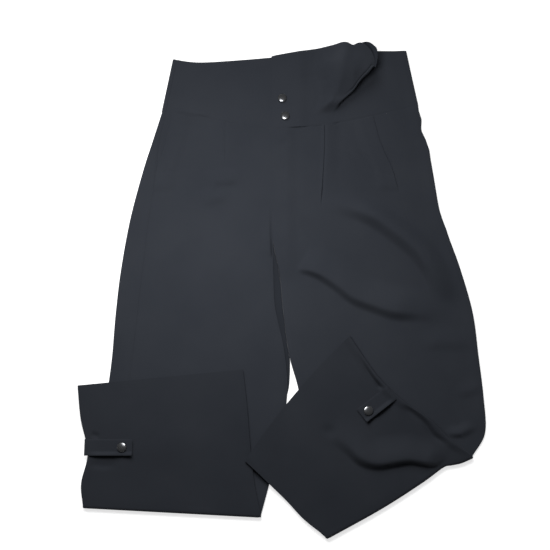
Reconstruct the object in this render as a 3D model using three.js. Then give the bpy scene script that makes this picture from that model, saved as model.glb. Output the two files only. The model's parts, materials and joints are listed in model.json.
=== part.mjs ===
// Wide-leg trousers laid on their back on a flat surface, both lower legs turned up over the front.
// Millimetres. +X is the wearer's left, +Y runs from the hems to the waist, +Z is up.
import * as THREE from 'three';

const { clamp, degToRad, lerp, smoothstep } = THREE.MathUtils;

// Cloth and seams
const WALL = 1.5;
const SEAM_GAP = 0.3;
const LAYER = WALL + SEAM_GAP;
const BACK_LEVEL = WALL / 2;
const FRONT_LEVEL = BACK_LEVEL + LAYER;
const TUBE_LEVEL = (BACK_LEVEL + FRONT_LEVEL) / 2;

// Soft turn along a leg's outer side
const SIDE_ROLL = 2.2;
const SIDE_ROLL_WIDTH = 20;
const FLAP_ROLL_WIDTH = 14;
const SIDE_TURN_STEPS = 5;

// Turn-up at the bottom of each leg
const TURN_UP_RADIUS = 2.6;
const TURN_UP_STEPS = 6;
const TURN_UP_SETTLE = 45;
const FLAP_LOOSE = 0.8;
const DENT_REACH = 60;

// Front opening: the left front's edge, and how far the right front and band run on under it
const OPENING_EDGE = -6;
const FLY_LAP = 12;
const BAND_LAP = 34;
const LAP_REST = 11;
const LAP_SLOPE = 20;
const FLY_END = { closed: 85, gone: 45, flat: -15 };
const WAIST_GAP = 0.6;
const CENTRE_GAP = 0.6;
const HIDDEN_GAP = 0.5;

// Distances over which folds die out: in from the outline, and along from the turn-up
const FRONT_CALM = { edge: [4, 34], turnUp: [12, 60] };
const FLAP_CALM = { edge: [2, 16], turnUp: [0, 20] };

// Snap caps, and the places of the two on the waistband
const CAP_RADIUS = 7.5;
const CAP_HEIGHT = 3.2;
const BAND_SNAPS = [
  { name: 'snap_cap_upper', x: 12, y: 299 },
  { name: 'snap_cap_lower', x: 17, y: 268 },
];

// Seam between waistband and legs, and the waistband's top edge, from the wearer's right to left
const WAIST_SEAM = [
  [-188, 276], [-133, 270], [-66, 256], [-6, 248], [45, 248], [95, 253], [157, 267], [239, 288],
];
const WAIST_TOP = [
  [-171, 369], [-126, 364], [-55, 368.5], [0, 373.5], [54, 381], [100, 384], [150, 384.5], [222, 384.3],
];

// Top edge of the left front band as far as its slack fold, and that of the fold's far side
const SLACK_TOP = [
  [-6, 374], [6, 377], [53, 386], [80, 390.5], [104, 394], [112, 393], [120, 389], [131, 384], [143, 383],
  [153.5, 380], [161, 375], [165, 370.5], [170, 366],
];
const FAR_TOP = [[132, 390], [139, 394], [149, 396], [157, 393.3], [163.7, 386.3], [170, 376]];

// Even places from one value to another, both ends in
function spread(count, from = 0, to = 1) {
  return Array.from({ length: count + 1 }, (_, index) => from + (to - from) * index / count);
}

// Stations down each leg: where the outline, the side seam, the pocket mouth and the inner edge are in plan.
// backInner moves the back's inner edge at some stations, so that it runs on under the other leg's edge.
// hemBow is how far the turned-up hem bows out, and dent how far the turn-up is pushed in along its line.
const LEG_RIGHT = {
  side: 'right',
  outward: -1,
  upper: [
    { outline: [-187, 276], seam: [-180, 275], mouth: [-170, 274], inner: [-6, 248] },
    { outline: [-201, 226], seam: [-190, 222], mouth: [-181, 220], inner: [-5, 190] },
    { outline: [-216, 172], seam: [-195, 168], mouth: [-195, 168], inner: [-4, 132] },
    { outline: [-234, 92], seam: [-205, 88], mouth: [-205, 88], inner: [-4, 62] },
    { outline: [-246, 10], seam: [-212, 8], mouth: [-212, 8], inner: [-2.5, 0] },
    { outline: [-252, -60], seam: [-218, -60], mouth: [-218, -60], inner: [0.5, -55] },
    { outline: [-256, -135], seam: [-224, -135], mouth: [-224, -135], inner: [14.5, -122] },
    { outline: [-263, -200], seam: [-232, -202], mouth: [-232, -202], inner: [19, -190] },
    { outline: [-276, -280], seam: [-247, -284], mouth: [-247, -284], inner: [6, -270] },
    { outline: [-291, -358], seam: [-268, -359.2], mouth: [-268, -359.2], inner: [-21, -372] },
  ],
  flap: [
    { outline: [-291, -358], inner: [-21, -372] },
    { outline: [-295, -325], inner: [-31, -328] },
    { outline: [-288, -281], inner: [-38, -270] },
    { outline: [-300, -228], inner: [-43, -212] },
    { outline: [-307, -177], inner: [-50, -152] },
  ],
  flapRoll: 1.2,
  rollFrom: 225,
  rollTo: 270,
  backInner: { 4: [6.7, 0], 5: [11.7, -55], 6: [21.7, -128] },
  hemBow: 0,
  dent: [[0, 0], [270, 0]],
  rows: [0, 0.5, 1, 1.5, 1.9, 2.5, 3, 3.35, 3.7, 4, 5, 6, 7, 8, 8.5, 9],
  stripColumns: 4,
  flapRows: spread(8, 0.5, 4),
  frontShares: spread(14),
  backShares: [0, 0.03, 0.06, 0.1, 0.25, 0.4, 0.55, 0.7, 0.85, 1],
  crossing: null,
};

const LEG_LEFT = {
  side: 'left',
  outward: 1,
  upper: [
    { outline: [238, 288], seam: [185, 275], mouth: [162, 268], inner: [-6, 248] },
    { outline: [243, 240], seam: [190, 224], mouth: [174, 220], inner: [-5, 190] },
    { outline: [256, 180], seam: [194, 168], mouth: [194, 168], inner: [-4, 132] },
    { outline: [271, 90], seam: [214, 92], mouth: [214, 92], inner: [-4, 62] },
    { outline: [295, 10], seam: [232, 8], mouth: [232, 8], inner: [7.5, 0] },
    { outline: [312, -62], seam: [246, -64], mouth: [246, -64], inner: [12.5, -55] },
    { outline: [318, -130], seam: [260, -132], mouth: [260, -132], inner: [22.5, -130] },
    { outline: [323, -195], seam: [273, -200], mouth: [273, -200], inner: [38, -190] },
    { outline: [323, -249], seam: [286, -252], mouth: [286, -252], inner: [55, -302] },
    { outline: [302, -284], seam: [290, -290.4], mouth: [290, -290.4], inner: [76.5, -404] },
  ],
  flap: [
    { outline: [302, -284], inner: [76.5, -404] },
    { outline: [272, -261], inner: [44, -379] },
    { outline: [241, -229], inner: [18, -352] },
    { outline: [201, -201], inner: [-6, -329] },
    { outline: [160, -161], inner: [-28, -308] },
    { outline: [118, -99], inner: [-46, -292] },
  ],
  flapRoll: 3.6,
  rollFrom: 10,
  rollTo: 60,
  backInner: {},
  hemBow: 7.5,
  dent: [[0, 0], [20, 1.8], [35, 6.2], [48, 9.3], [89, 4.4], [162, 0], [256, 0]],
  rows: [0, 0.5, 1, 1.5, 1.9, 2.3, 2.7, 3, 3.35, 3.7, 4, 4.35, 4.7, 5, 5.4, 5.8, 6.3, 7, 7.5, 8, 8.5, 9],
  stripColumns: 6,
  flapRows: spread(12, 0.4, 5),
  frontShares: spread(22),
  backShares: [0, 0.03, 0.06, 0.1, 0.18, 0.26, 0.34, 0.42, 0.5, 0.58, 0.66, 0.74, 0.82, 0.91, 1],
  crossing: { from: 20, to: -30, lift: 2 * LAYER + 1.4 },
};

// Folds raised in the cloth: a crest along a path, steep on its right-hand side as the path runs
const FRONT_FOLDS = {
  right: [
    { path: [[-81, 258], [-81, 215], [-82, 178]], height: 2.2, gentle: 30, steep: 8, start: 0, end: 0.6 },
    {
      path: [[-122, 118], [-100, 128], [-66, 135]],
      height: 2.5, gentle: 26, steep: 16, start: 0.4, end: 0.4,
    },
  ],
  left: [
    { path: [[84, 254], [82, 190], [79, 121]], height: 3, gentle: 26, steep: 7, start: 0, end: 0.55 },
    {
      path: [[96, 122], [124, 112], [173, 90], [211, 66], [247, 24], [272, -22], [295, -40]],
      height: 7, gentle: 34, steep: 15, start: 0.35, end: 0.3,
    },
    {
      path: [[36, 16], [74, 0], [113, -28], [152, -47], [200, -60], [272, -62]],
      height: 9, gentle: 46, steep: 13, start: 0.3, end: 0.3,
    },
  ],
};
const FLAP_FOLDS = {
  right: [
    {
      path: [[-70, -262], [-160, -268], [-240, -262]],
      height: 1.6, gentle: 45, steep: 45, start: 0.5, end: 0.5,
    },
  ],
  left: [
    {
      path: [
        [62, -240], [96, -252], [118, -271], [134, -288], [156, -294], [182, -291], [207, -290], [236, -297],
        [266, -304],
      ],
      height: 9, gentle: 42, steep: 9, start: 0.4, end: 0.2,
    },
  ],
};

// The slack fold of the left front band: its crease by height on the band, from seam to top edge
const CREASE = [
  [0, 88], [0.2, 102], [0.29, 111], [0.37, 125.5], [0.45, 136], [0.6, 153.5], [0.75, 162.5], [0.87, 168], [1, 170],
];
const SLACK = {
  apex: 0.18,
  fullBy: 0.8,
  firstTurn: 2,
  fullTurn: 146,
  turnedBy: 0.36,
  arc: [4, 9],
  back: [2, 24],
  slopeFrom: 100,
  slopeTo: 14,
  farFrom: 0.55,
};

// Ends of the waistband where it turns round the body, and the front bands' side seams, at seam and top
const BAND_END_RIGHT = [-188, -171.5];
const BAND_END_LEFT = [238, 221];
const BAND_SEAM_LEFT = [185, 186];
const BAND_STRIP_RIGHT = 7;
const BAND_ROLL = 1.6;

// Hem tabs: root at the outseam, direction and size
const TABS = {
  right: { root: [-290, -271.5], turn: 0, length: 71.5, width: 25, lift: 1.2, snap: 56 },
  left: { root: [180, -188.5], turn: 217, length: 58, width: 25, lift: 1.2, snap: 45.5 },
};
const TAB_WALL = 2;
const TAB_ROOT = 4;
const TAB_RISE_SHARE = 0.6;

// Lift of the front along its pocket mouth, where it lies on the pocket's side piece
const POCKET = { lap: 10, rest: 10, slope: 16, end: 150, fade: 14, rows: 5, station: 2 };

// Smooth share from 0 at one value to 1 at another, which may be the lower one
function smooth(from, to, value) {
  const share = smoothstep(value, Math.min(from, to), Math.max(from, to));
  return to < from ? 1 - share : share;
}

function curveThrough(points) {
  const vectors = points.map(([x, y]) => new THREE.Vector3(x, y, 0));
  return new THREE.CatmullRomCurve3(vectors, false, 'catmullrom', 0.5);
}

// Second coordinate of a smooth curve at a given first coordinate, on a curve that only runs forward
function heightAt(curve, first) {
  let low = 0;
  let high = 1;
  for (let step = 0; step < 30; step += 1) {
    const middle = (low + high) / 2;
    if (curve.getPoint(middle).x < first) {
      low = middle;
    } else {
      high = middle;
    }
  }
  return curve.getPoint((low + high) / 2).y;
}

const waistSeamCurve = curveThrough(WAIST_SEAM);
const waistTopCurve = curveThrough(WAIST_TOP);
const slackTopCurve = curveThrough(SLACK_TOP);
const farTopCurve = curveThrough(FAR_TOP);
const creaseCurve = curveThrough(CREASE);
const waistSeam = (x) => heightAt(waistSeamCurve, x);
const waistTop = (x) => heightAt(waistTopCurve, x);
const slackTop = (x) => heightAt(slackTopCurve, x);
const farTop = (x) => heightAt(farTopCurve, x);

// One column of a station table as a smooth line in plan, at a position counted in stations
function lineOf(stations, column) {
  const curve = curveThrough(stations.map((station) => station[column]));
  return (position) => curve.getPoint(position / (stations.length - 1));
}

// The front's outer edge: the pocket mouth, and the side seam below it
function frontEdge(leg) {
  const mouth = lineOf(leg.upper, 'mouth');
  const seam = lineOf(leg.upper, 'seam');
  return (position) => (position < POCKET.station ? mouth(position) : seam(position));
}

// The back's inner edge, which at some stations is not the front's
function backInnerEdge(leg) {
  const stations = leg.upper.map(({ inner }, index) => ({ inner: leg.backInner[index] ?? inner }));
  return lineOf(stations, 'inner');
}

// A place on a turned-up row in plan, where the hem bows out between its two ends
function flapPlace(leg, position, distance) {
  const edge = lineOf(leg.flap, 'outline')(position);
  const across = lineOf(leg.flap, 'inner')(position).sub(edge);
  const width = across.length();
  across.divideScalar(width);
  const last = leg.flap.length - 1;
  const share = distance / width;
  const bow = 4 * leg.hemBow * share * (1 - share) * smooth(last - 2, last, position);
  const outward = new THREE.Vector3(across.y, -across.x, 0).multiplyScalar(leg.outward * bow);
  return edge.addScaledVector(across, distance).add(outward);
}

function flapWidth(leg, position) {
  return lineOf(leg.flap, 'outline')(position).distanceTo(lineOf(leg.flap, 'inner')(position));
}

// Grid with its points near the turn-up pushed in, as far as the dent is deep there
function dented(leg, grid) {
  const { start, across, outward } = turnUpLine(leg);
  const depth = curveThrough(leg.dent);
  for (const point of grid.flat()) {
    const along = (point.x - start.x) * across.x + (point.y - start.y) * across.y;
    const near = smooth(DENT_REACH, 0, alongFromTurnUp(leg, point.x, point.y));
    point.addScaledVector(outward, -near * heightAt(depth, along));
  }
  return grid;
}

// Height that one fold adds at a place in plan
function foldHeight(fold, x, y) {
  const steps = 24;
  fold.points ??= curveThrough(fold.path).getPoints(steps);
  let nearest = Infinity;
  let side = 0;
  let along = 0;
  for (let index = 0; index < steps; index += 1) {
    const start = fold.points[index];
    const end = fold.points[index + 1];
    const dx = end.x - start.x;
    const dy = end.y - start.y;
    const share = ((x - start.x) * dx + (y - start.y) * dy) / (dx * dx + dy * dy);
    const held = clamp(share, 0, 1);
    const gap = Math.hypot(x - start.x - held * dx, y - start.y - held * dy);
    if (gap < nearest) {
      nearest = gap;
      side = Math.sign(dx * (y - start.y) - dy * (x - start.x));
      along = (index + held) / steps;
    }
  }
  const width = side > 0 ? fold.gentle : fold.steep;
  const started = fold.start ? smooth(0, fold.start, along) : 1;
  const ended = fold.end ? smooth(1, 1 - fold.end, along) : 1;
  return fold.height * smooth(width, 0, nearest) * started * ended;
}

const foldsHeight = (folds, x, y) => folds.reduce((sum, fold) => sum + foldHeight(fold, x, y), 0);

// Closed solid of one cloth: a grid of points on its middle surface, given half its wall to each side.
// Upright points keep their place in plan, so that pieces stay apart at a seam where the cloth slopes.
function clothSolid(grid, wall = WALL) {
  const rows = grid.length;
  const columns = grid[0].length;
  const vertices = [];
  const at = (row, column) => grid[clamp(row, 0, rows - 1)][
    clamp(column, 0, columns - 1)];
  for (const face of [1, -1]) {
    for (let row = 0; row < rows; row += 1) {
      for (let column = 0; column < columns; column += 1) {
        const down = at(row + 1, column).clone().sub(at(row - 1, column));
        const across = at(row, column + 1).clone().sub(at(row, column - 1));
        const normal = down.cross(across).normalize();
        if (grid[row][column].upright) normal.set(0, 0, Math.sign(normal.z));
        vertices.push(grid[row][column].clone().addScaledVector(normal, face * wall / 2));
      }
    }
  }
  const index = (layer, row, column) => layer * rows * columns + row * columns + column;
  const triangles = [];
  const quad = (a, b, c, d) => triangles.push(a, b, c, a, c, d);
  for (let row = 0; row < rows - 1; row += 1) {
    for (let column = 0; column < columns - 1; column += 1) {
      const cell = [[row, column], [row + 1, column], [row + 1, column + 1], [row, column + 1]];
      quad(...cell.map(([r, c]) => index(0, r, c)));
      quad(...cell.reverse().map(([r, c]) => index(1, r, c)));
    }
  }
  const rim = [];
  for (let column = 0; column < columns - 1; column += 1) {
    rim.push([0, column]);
  }
  for (let row = 0; row < rows - 1; row += 1) {
    rim.push([row, columns - 1]);
  }
  for (let column = columns - 1; column > 0; column -= 1) {
    rim.push([rows - 1, column]);
  }
  for (let row = rows - 1; row > 0; row -= 1) {
    rim.push([row, 0]);
  }
  rim.forEach(([row, column], place) => {
    const [nextRow, nextColumn] = rim[(place + 1) % rim.length];
    quad(index(0, row, column), index(0, nextRow, nextColumn),
      index(1, nextRow, nextColumn), index(1, row, column));
  });
  const geometry = new THREE.BufferGeometry();
  const numbers = vertices.flatMap((vertex) => [vertex.x, vertex.y, vertex.z]);
  geometry.setAttribute('position', new THREE.Float32BufferAttribute(numbers, 3));
  geometry.setIndex(triangles);
  if (signedVolume(vertices, triangles) < 0) {
    geometry.setIndex(triangles.reverse());
  }
  geometry.computeVertexNormals();
  return geometry;
}

function signedVolume(vertices, triangles) {
  let sum = 0;
  for (let corner = 0; corner < triangles.length; corner += 3) {
    const [a, b, c] = [0, 1, 2].map((step) => vertices[triangles[corner + step]]);
    sum += a.dot(b.clone().cross(c));
  }
  return sum / 6;
}

// Cross-section of a leg's back cloth: distance in from the outline, and level from the tube's middle
function backSection(leg, width, strip, frontRoll, backRoll) {
  const radius = (LAYER + frontRoll + backRoll) / 2;
  const middle = (frontRoll - backRoll) / 2;
  const turn = sideTurn(frontRoll + backRoll);
  const section = [];
  for (const share of spread(leg.stripColumns - 1)) {
    const distance = lerp(strip, turn, share);
    const level = LAYER / 2 + frontRoll * rollShape(distance, frontRoll, SIDE_ROLL_WIDTH);
    section.push({ distance, level, seamShare: 1 - share });
  }
  for (let step = 1; step < SIDE_TURN_STEPS; step += 1) {
    const angle = Math.PI * step / SIDE_TURN_STEPS;
    section.push({ distance: turn - radius * Math.sin(angle), level: middle + radius * Math.cos(angle) });
  }
  for (const share of leg.backShares) {
    const distance = lerp(turn, width, share);
    section.push({ distance, level: -LAYER / 2 - backRoll * rollShape(distance, backRoll, FLAP_ROLL_WIDTH) });
  }
  return section;
}

// How far in from the outline the middle of the soft turn lies
function sideTurn(roll) {
  return (LAYER + roll + WALL) / 2;
}

// Share of the roll's height at a distance in from the outline
function rollShape(distance, roll, width) {
  const turn = sideTurn(roll);
  return smooth(turn + width, turn, distance);
}

function sideRoll(leg, x, y) {
  return SIDE_ROLL * smooth(leg.rollFrom, leg.rollTo, alongFromTurnUp(leg, x, y));
}

// Height of the folds on the upper leg, calmed towards the outline and under the turn-up
function frontFolds(leg, x, y, distance) {
  const along = alongFromTurnUp(leg, x, y);
  const fade = smooth(...FRONT_CALM.edge, distance) * smooth(...FRONT_CALM.turnUp, along);
  return fade * foldsHeight(FRONT_FOLDS[leg.side], x, y);
}

// Height of the folds on the turned-up leg
function flapFolds(leg, x, y, distance) {
  const along = alongFromTurnUp(leg, x, y);
  const fade = smooth(...FLAP_CALM.edge, distance) * smooth(...FLAP_CALM.turnUp, along);
  return fade * foldsHeight(FLAP_FOLDS[leg.side], x, y);
}

// Lift of the left front where it laps over the right one
function lapLift(x, lap) {
  return LAYER * smooth(lap + LAP_REST + LAP_SLOPE, lap + LAP_REST, x - OPENING_EDGE);
}

// Middle level of the top cloth on the upper leg
function frontLevel(leg, x, y, distance) {
  const roll = sideRoll(leg, x, y);
  let level = FRONT_LEVEL + frontFolds(leg, x, y, distance);
  level += roll * rollShape(distance, roll, SIDE_ROLL_WIDTH);
  if (leg.side === 'left') {
    level += lapLift(x, FLY_LAP) * smooth(FLY_END.flat, FLY_END.gone - 10, y);
  }
  return level;
}

function alongFromTurnUp(leg, x, y) {
  const { start, across } = turnUpLine(leg);
  const offset = new THREE.Vector3(x, y, 0).sub(start);
  return Math.abs(offset.x * across.y - offset.y * across.x);
}

function turnUpLine(leg) {
  const last = leg.upper[leg.upper.length - 1];
  const start = new THREE.Vector3(...last.outline, 0);
  const across = new THREE.Vector3(...last.inner, 0).sub(start);
  const width = across.length();
  across.divideScalar(width);
  const outward = new THREE.Vector3(across.y, -across.x, 0).multiplyScalar(leg.outward * -1);
  return { start, across, width, outward };
}

// Middle of the turned-up tube above the surface
function flapLevel(leg, x, y) {
  const settled = FRONT_LEVEL + LAYER + LAYER / 2;
  const atTurnUp = TUBE_LEVEL + 2 * TURN_UP_RADIUS;
  const share = smooth(TURN_UP_SETTLE, 0, alongFromTurnUp(leg, x, y));
  const lift = leg.crossing ? leg.crossing.lift * smooth(leg.crossing.from, leg.crossing.to, x) : 0;
  return lerp(settled, atTurnUp, share) + lift;
}

// Level of the cloth that shows on the turned-up leg
function flapTop(leg, x, y, distance) {
  const roll = leg.flapRoll * rollShape(distance, leg.flapRoll, FLAP_ROLL_WIDTH);
  return flapLevel(leg, x, y) + LAYER / 2 + roll + flapLoose(leg, x, y) + flapFolds(leg, x, y, distance);
}

// How loosely the cloth that shows lies on the layers in the turned-up leg
function flapLoose(leg, x, y) {
  return FLAP_LOOSE * smooth(0, TURN_UP_SETTLE, alongFromTurnUp(leg, x, y));
}

// The back of a leg: round the outer side, down the back, round the turn-up and out to the hem
function backPanel(leg) {
  const outline = lineOf(leg.upper, 'outline');
  const seam = lineOf(leg.upper, 'seam');
  const inner = backInnerEdge(leg);
  const grid = [];
  for (const position of leg.rows) {
    const edge = outline(position);
    const end = inner(position);
    end.x += leg.outward * CENTRE_GAP / 2;
    const across = end.clone().sub(edge);
    const width = across.length();
    across.divideScalar(width);
    const strip = seam(position).distanceTo(edge) - SEAM_GAP / 2;
    const drift = seam(position).sub(edge).addScaledVector(across, -strip - SEAM_GAP / 2);
    const roll = sideRoll(leg, edge.x, edge.y);
    grid.push(backSection(leg, width, strip, roll, 0).map(({ distance, level, seamShare }) => {
      const point = edge.clone().addScaledVector(across, distance);
      point.z = TUBE_LEVEL + level;
      if (seamShare) {
        point.addScaledVector(drift, seamShare);
        point.z += frontFolds(leg, point.x, point.y, distance);
        point.upright = true;
      }
      if (position === 0) point.y = waistSeam(point.x) - WAIST_GAP / 2;
      return point;
    }));
  }
  const line = turnUpLine(leg);
  const hiddenStrip = seam(leg.upper.length - 1).distanceTo(line.start) - SEAM_GAP / 2;
  const edgeSection = backSection(leg, line.width, hiddenStrip, 0, 0);
  for (let step = 1; step <= TURN_UP_STEPS; step += 1) {
    const angle = Math.PI * step / TURN_UP_STEPS;
    grid.push(edgeSection.map(({ distance, level }) => {
      const reach = TURN_UP_RADIUS - level;
      const point = line.start.clone().addScaledVector(line.across, distance);
      point.addScaledVector(line.outward, reach * Math.sin(angle));
      point.z = TUBE_LEVEL + TURN_UP_RADIUS - reach * Math.cos(angle);
      return point;
    }));
  }
  for (const position of leg.flapRows) {
    const roll = leg.flapRoll * smooth(0, 1, position);
    const section = backSection(leg, flapWidth(leg, position), hiddenStrip, 0, roll);
    grid.push(section.map(({ distance, level }, column) => {
      const point = flapPlace(leg, position, distance);
      point.z = flapLevel(leg, point.x, point.y) - level;
      if (column >= leg.stripColumns + SIDE_TURN_STEPS - 1) {
        point.z += flapLoose(leg, point.x, point.y) + flapFolds(leg, point.x, point.y, distance);
      }
      return point;
    }));
  }
  return clothSolid(dented(leg, grid));
}

// The front of a leg, from its pocket mouth and side seam to the inner seam, and on inside the turn-up
function frontPanel(leg) {
  const outline = lineOf(leg.upper, 'outline');
  const outerEdge = frontEdge(leg);
  const inner = lineOf(leg.upper, 'inner');
  const grid = [];
  for (const position of leg.rows) {
    const edge = outerEdge(position);
    const end = inner(position);
    if (leg.side === 'right') {
      end.x += FLY_LAP * smooth(FLY_END.gone, FLY_END.closed, end.y) - CENTRE_GAP / 2;
    } else {
      end.x += CENTRE_GAP / 2;
    }
    const across = end.clone().sub(edge);
    const width = across.length();
    across.divideScalar(width);
    const inset = edge.distanceTo(outline(position));
    grid.push(leg.frontShares.map((share) => {
      const distance = lerp(SEAM_GAP / 2, width, share);
      const point = edge.clone().addScaledVector(across, distance);
      if (position === 0) point.y = waistSeam(point.x) - WAIST_GAP / 2;
      point.z = frontLevel(leg, point.x, point.y, inset + distance);
      point.z += pocketLift(leg, point.x, point.y, distance);
      point.upright = true;
      return point;
    }));
  }
  const line = turnUpLine(leg);
  const inset = outerEdge(leg.upper.length - 1).distanceTo(line.start) + SEAM_GAP / 2;
  const reach = TURN_UP_RADIUS - LAYER / 2;
  for (let step = 1; step <= TURN_UP_STEPS; step += 1) {
    const angle = Math.PI * step / TURN_UP_STEPS;
    grid.push(leg.frontShares.map((share) => {
      const point = line.start.clone().addScaledVector(line.across, lerp(inset, line.width, share));
      point.addScaledVector(line.outward, reach * Math.sin(angle));
      point.z = TUBE_LEVEL + TURN_UP_RADIUS - reach * Math.cos(angle);
      return point;
    }));
  }
  for (const position of leg.flapRows) {
    const width = flapWidth(leg, position);
    grid.push(leg.frontShares.map((share) => {
      const point = flapPlace(leg, position, lerp(inset + HIDDEN_GAP, width, share));
      point.z = flapLevel(leg, point.x, point.y) - LAYER / 2;
      return point;
    }));
  }
  return clothSolid(dented(leg, grid));
}

function pocketLift(leg, x, y, distance) {
  const flat = POCKET.lap + POCKET.rest;
  const open = smooth(POCKET.end - POCKET.fade, POCKET.end, y);
  return LAYER * open * smooth(flat + POCKET.slope, flat, distance);
}

// The piece that shows in the pocket mouth, from the side seam to under the front
function pocketSide(leg) {
  const outline = lineOf(leg.upper, 'outline');
  const seam = lineOf(leg.upper, 'seam');
  const mouth = lineOf(leg.upper, 'mouth');
  const grid = [];
  for (const position of leg.rows.slice(0, POCKET.rows)) {
    const edge = seam(position);
    const across = mouth(position).sub(edge);
    const open = across.length();
    across.divideScalar(open);
    const inset = edge.distanceTo(outline(position));
    grid.push(spread(5).map((share) => {
      const distance = lerp(SEAM_GAP / 2, open + POCKET.lap, share);
      const point = edge.clone().addScaledVector(across, distance);
      if (position === 0) point.y = waistSeam(point.x) - WAIST_GAP / 2;
      point.z = frontLevel(leg, point.x, point.y, inset + distance);
      point.upright = true;
      return point;
    }));
  }
  return clothSolid(grid);
}

const BAND_ROWS = spread(5);

function bandPoint(x, share, level, top = waistTop(x)) {
  const bottom = waistSeam(x) + WAIST_GAP / 2;
  return new THREE.Vector3(x, lerp(bottom, top, share), level);
}

// One side of the back band, from its strip on top of the front to where it lies flat
function bandSide(end, inward, strip) {
  const radius = (LAYER + BAND_ROLL) / 2;
  const turn = radius + WALL / 2;
  const places = [];
  for (const part of spread(3)) {
    const distance = lerp(strip, turn, part);
    const roll = BAND_ROLL * smooth(turn + SIDE_ROLL_WIDTH, turn, distance);
    places.push([end + inward * distance, FRONT_LEVEL + roll]);
  }
  for (let step = 1; step < SIDE_TURN_STEPS; step += 1) {
    const angle = Math.PI * step / SIDE_TURN_STEPS;
    const distance = turn - radius * Math.sin(angle);
    places.push([end + inward * distance, BACK_LEVEL + radius + radius * Math.cos(angle)]);
  }
  places.push([end + inward * turn, BACK_LEVEL]);
  return places;
}

// The back band lies on the surface and turns up round both sides
function backBand() {
  const grid = BAND_ROWS.map((share) => {
    const rightEnd = lerp(...BAND_END_RIGHT, share);
    const leftEnd = lerp(...BAND_END_LEFT, share);
    const seam = lerp(...BAND_SEAM_LEFT, share) + SEAM_GAP / 2;
    const right = bandSide(rightEnd, 1, BAND_STRIP_RIGHT);
    const left = bandSide(leftEnd, -1, leftEnd - seam).reverse();
    const flat = spread(8).slice(1, -1).map((part) => (
      [lerp(right.at(-1)[0], left[0][0], part), BACK_LEVEL]));
    return [...right, ...flat, ...left].map(([x, level]) => bandPoint(x, share, level));
  });
  return clothSolid(grid);
}

// The right front band lies flat and runs on under the left one
function rightBand() {
  const to = OPENING_EDGE + BAND_LAP;
  const grid = BAND_ROWS.map((share) => {
    const end = lerp(...BAND_END_RIGHT, share);
    const from = end + BAND_STRIP_RIGHT + SEAM_GAP;
    return spread(10).map((part) => {
      const x = lerp(from, to, part);
      return bandPoint(x, share, FRONT_LEVEL + BAND_ROLL * smooth(SIDE_ROLL_WIDTH, 0, x - end));
    });
  });
  return clothSolid(grid);
}

// Cross-section of the left front band at one height: places along it, with the slack laid over in a fold
// over is the share of the way to the fold's far side, under that of the way down to the layer below
function slackSection(share) {
  const amount = smooth(SLACK.apex, SLACK.fullBy, share);
  const turnShare = smoothstep(share, SLACK.apex, SLACK.apex + SLACK.turnedBy);
  const turn = degToRad(lerp(SLACK.firstTurn, SLACK.fullTurn, turnShare));
  const radius = lerp(SLACK.arc[0], SLACK.arc[1], amount) / turn;
  const back = lerp(SLACK.back[0], SLACK.back[1], amount);
  const height = 2 * radius * (1 - Math.cos(turn)) + back * Math.sin(turn);
  const crease = heightAt(creaseCurve, share);
  const start = crease - radius * (turn > Math.PI / 2 ? 1 : Math.sin(turn));
  const from = OPENING_EDGE + SEAM_GAP / 2;
  const end = lerp(...BAND_SEAM_LEFT, share) - SEAM_GAP / 2;
  const places = [];
  for (const part of spread(14)) {
    const x = lerp(from, start, part);
    const rise = smooth(start - SLACK.slopeFrom, start - SLACK.slopeTo, x);
    places.push({ x, level: height * rise + lapLift(x, BAND_LAP), over: 0 });
  }
  for (const part of spread(5).slice(1)) {
    const angle = turn * part;
    places.push({
      x: start + radius * Math.sin(angle),
      level: height - radius * (1 - Math.cos(angle)),
      over: 0.5 * part,
    });
  }
  const first = places.at(-1);
  for (const part of spread(3).slice(1)) {
    places.push({
      x: first.x + back * part * Math.cos(turn),
      level: first.level - back * part * Math.sin(turn),
      over: 0.5 + 0.5 * part,
    });
  }
  const second = places.at(-1);
  for (const part of spread(5).slice(1)) {
    const angle = turn * (1 - part);
    places.push({
      x: second.x + radius * (Math.sin(turn) - Math.sin(angle)),
      level: second.level - radius * (Math.cos(angle) - Math.cos(turn)),
      over: 1 - part,
      under: part,
    });
  }
  const last = places.at(-1);
  for (const part of spread(4).slice(1)) {
    places.push({ x: lerp(last.x, end, part), level: 0, over: 0, under: 1 });
  }
  return places.map((place) => ({ under: 0, ...place }));
}

function leftBand() {
  const grid = spread(14).map((share) => slackSection(share).map(({ x, level, over, under }) => {
    const far = smooth(0, 0.5, over) * smooth(SLACK.farFrom, 1, share);
    const top = lerp(slackTop(x), farTop(x), far);
    return bandPoint(x, share, FRONT_LEVEL + level, lerp(top, waistTop(x), under));
  }));
  return clothSolid(grid);
}

// Distance from a place in plan to the turned-up leg's outer edge
function flapDistance(leg, x, y) {
  const points = curveThrough(leg.flap.map((station) => station.outline)).getPoints(60);
  return Math.min(...points.map((point) => Math.hypot(point.x - x, point.y - y)));
}

// Place on a hem tab, in from its root and off its middle line
function tabPlace(leg, along, aside) {
  const tab = TABS[leg.side];
  const turn = degToRad(tab.turn);
  const x = tab.root[0] + along * Math.cos(turn) - aside * Math.sin(turn);
  const y = tab.root[1] + along * Math.sin(turn) + aside * Math.cos(turn);
  const seat = flapTop(leg, x, y, flapDistance(leg, x, y)) + WALL / 2 + SEAM_GAP;
  const rise = tab.lift * smooth(0, tab.length * TAB_RISE_SHARE, along);
  return new THREE.Vector3(x, y, seat + TAB_WALL / 2 + rise);
}

function tabSolid(leg) {
  const tab = TABS[leg.side];
  const grid = spread(9).map((along) => spread(4, -0.5, 0.5).map((aside) => (
    tabPlace(leg, lerp(TAB_ROOT, tab.length, along), tab.width * aside))));
  return clothSolid(grid, TAB_WALL);
}

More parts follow.
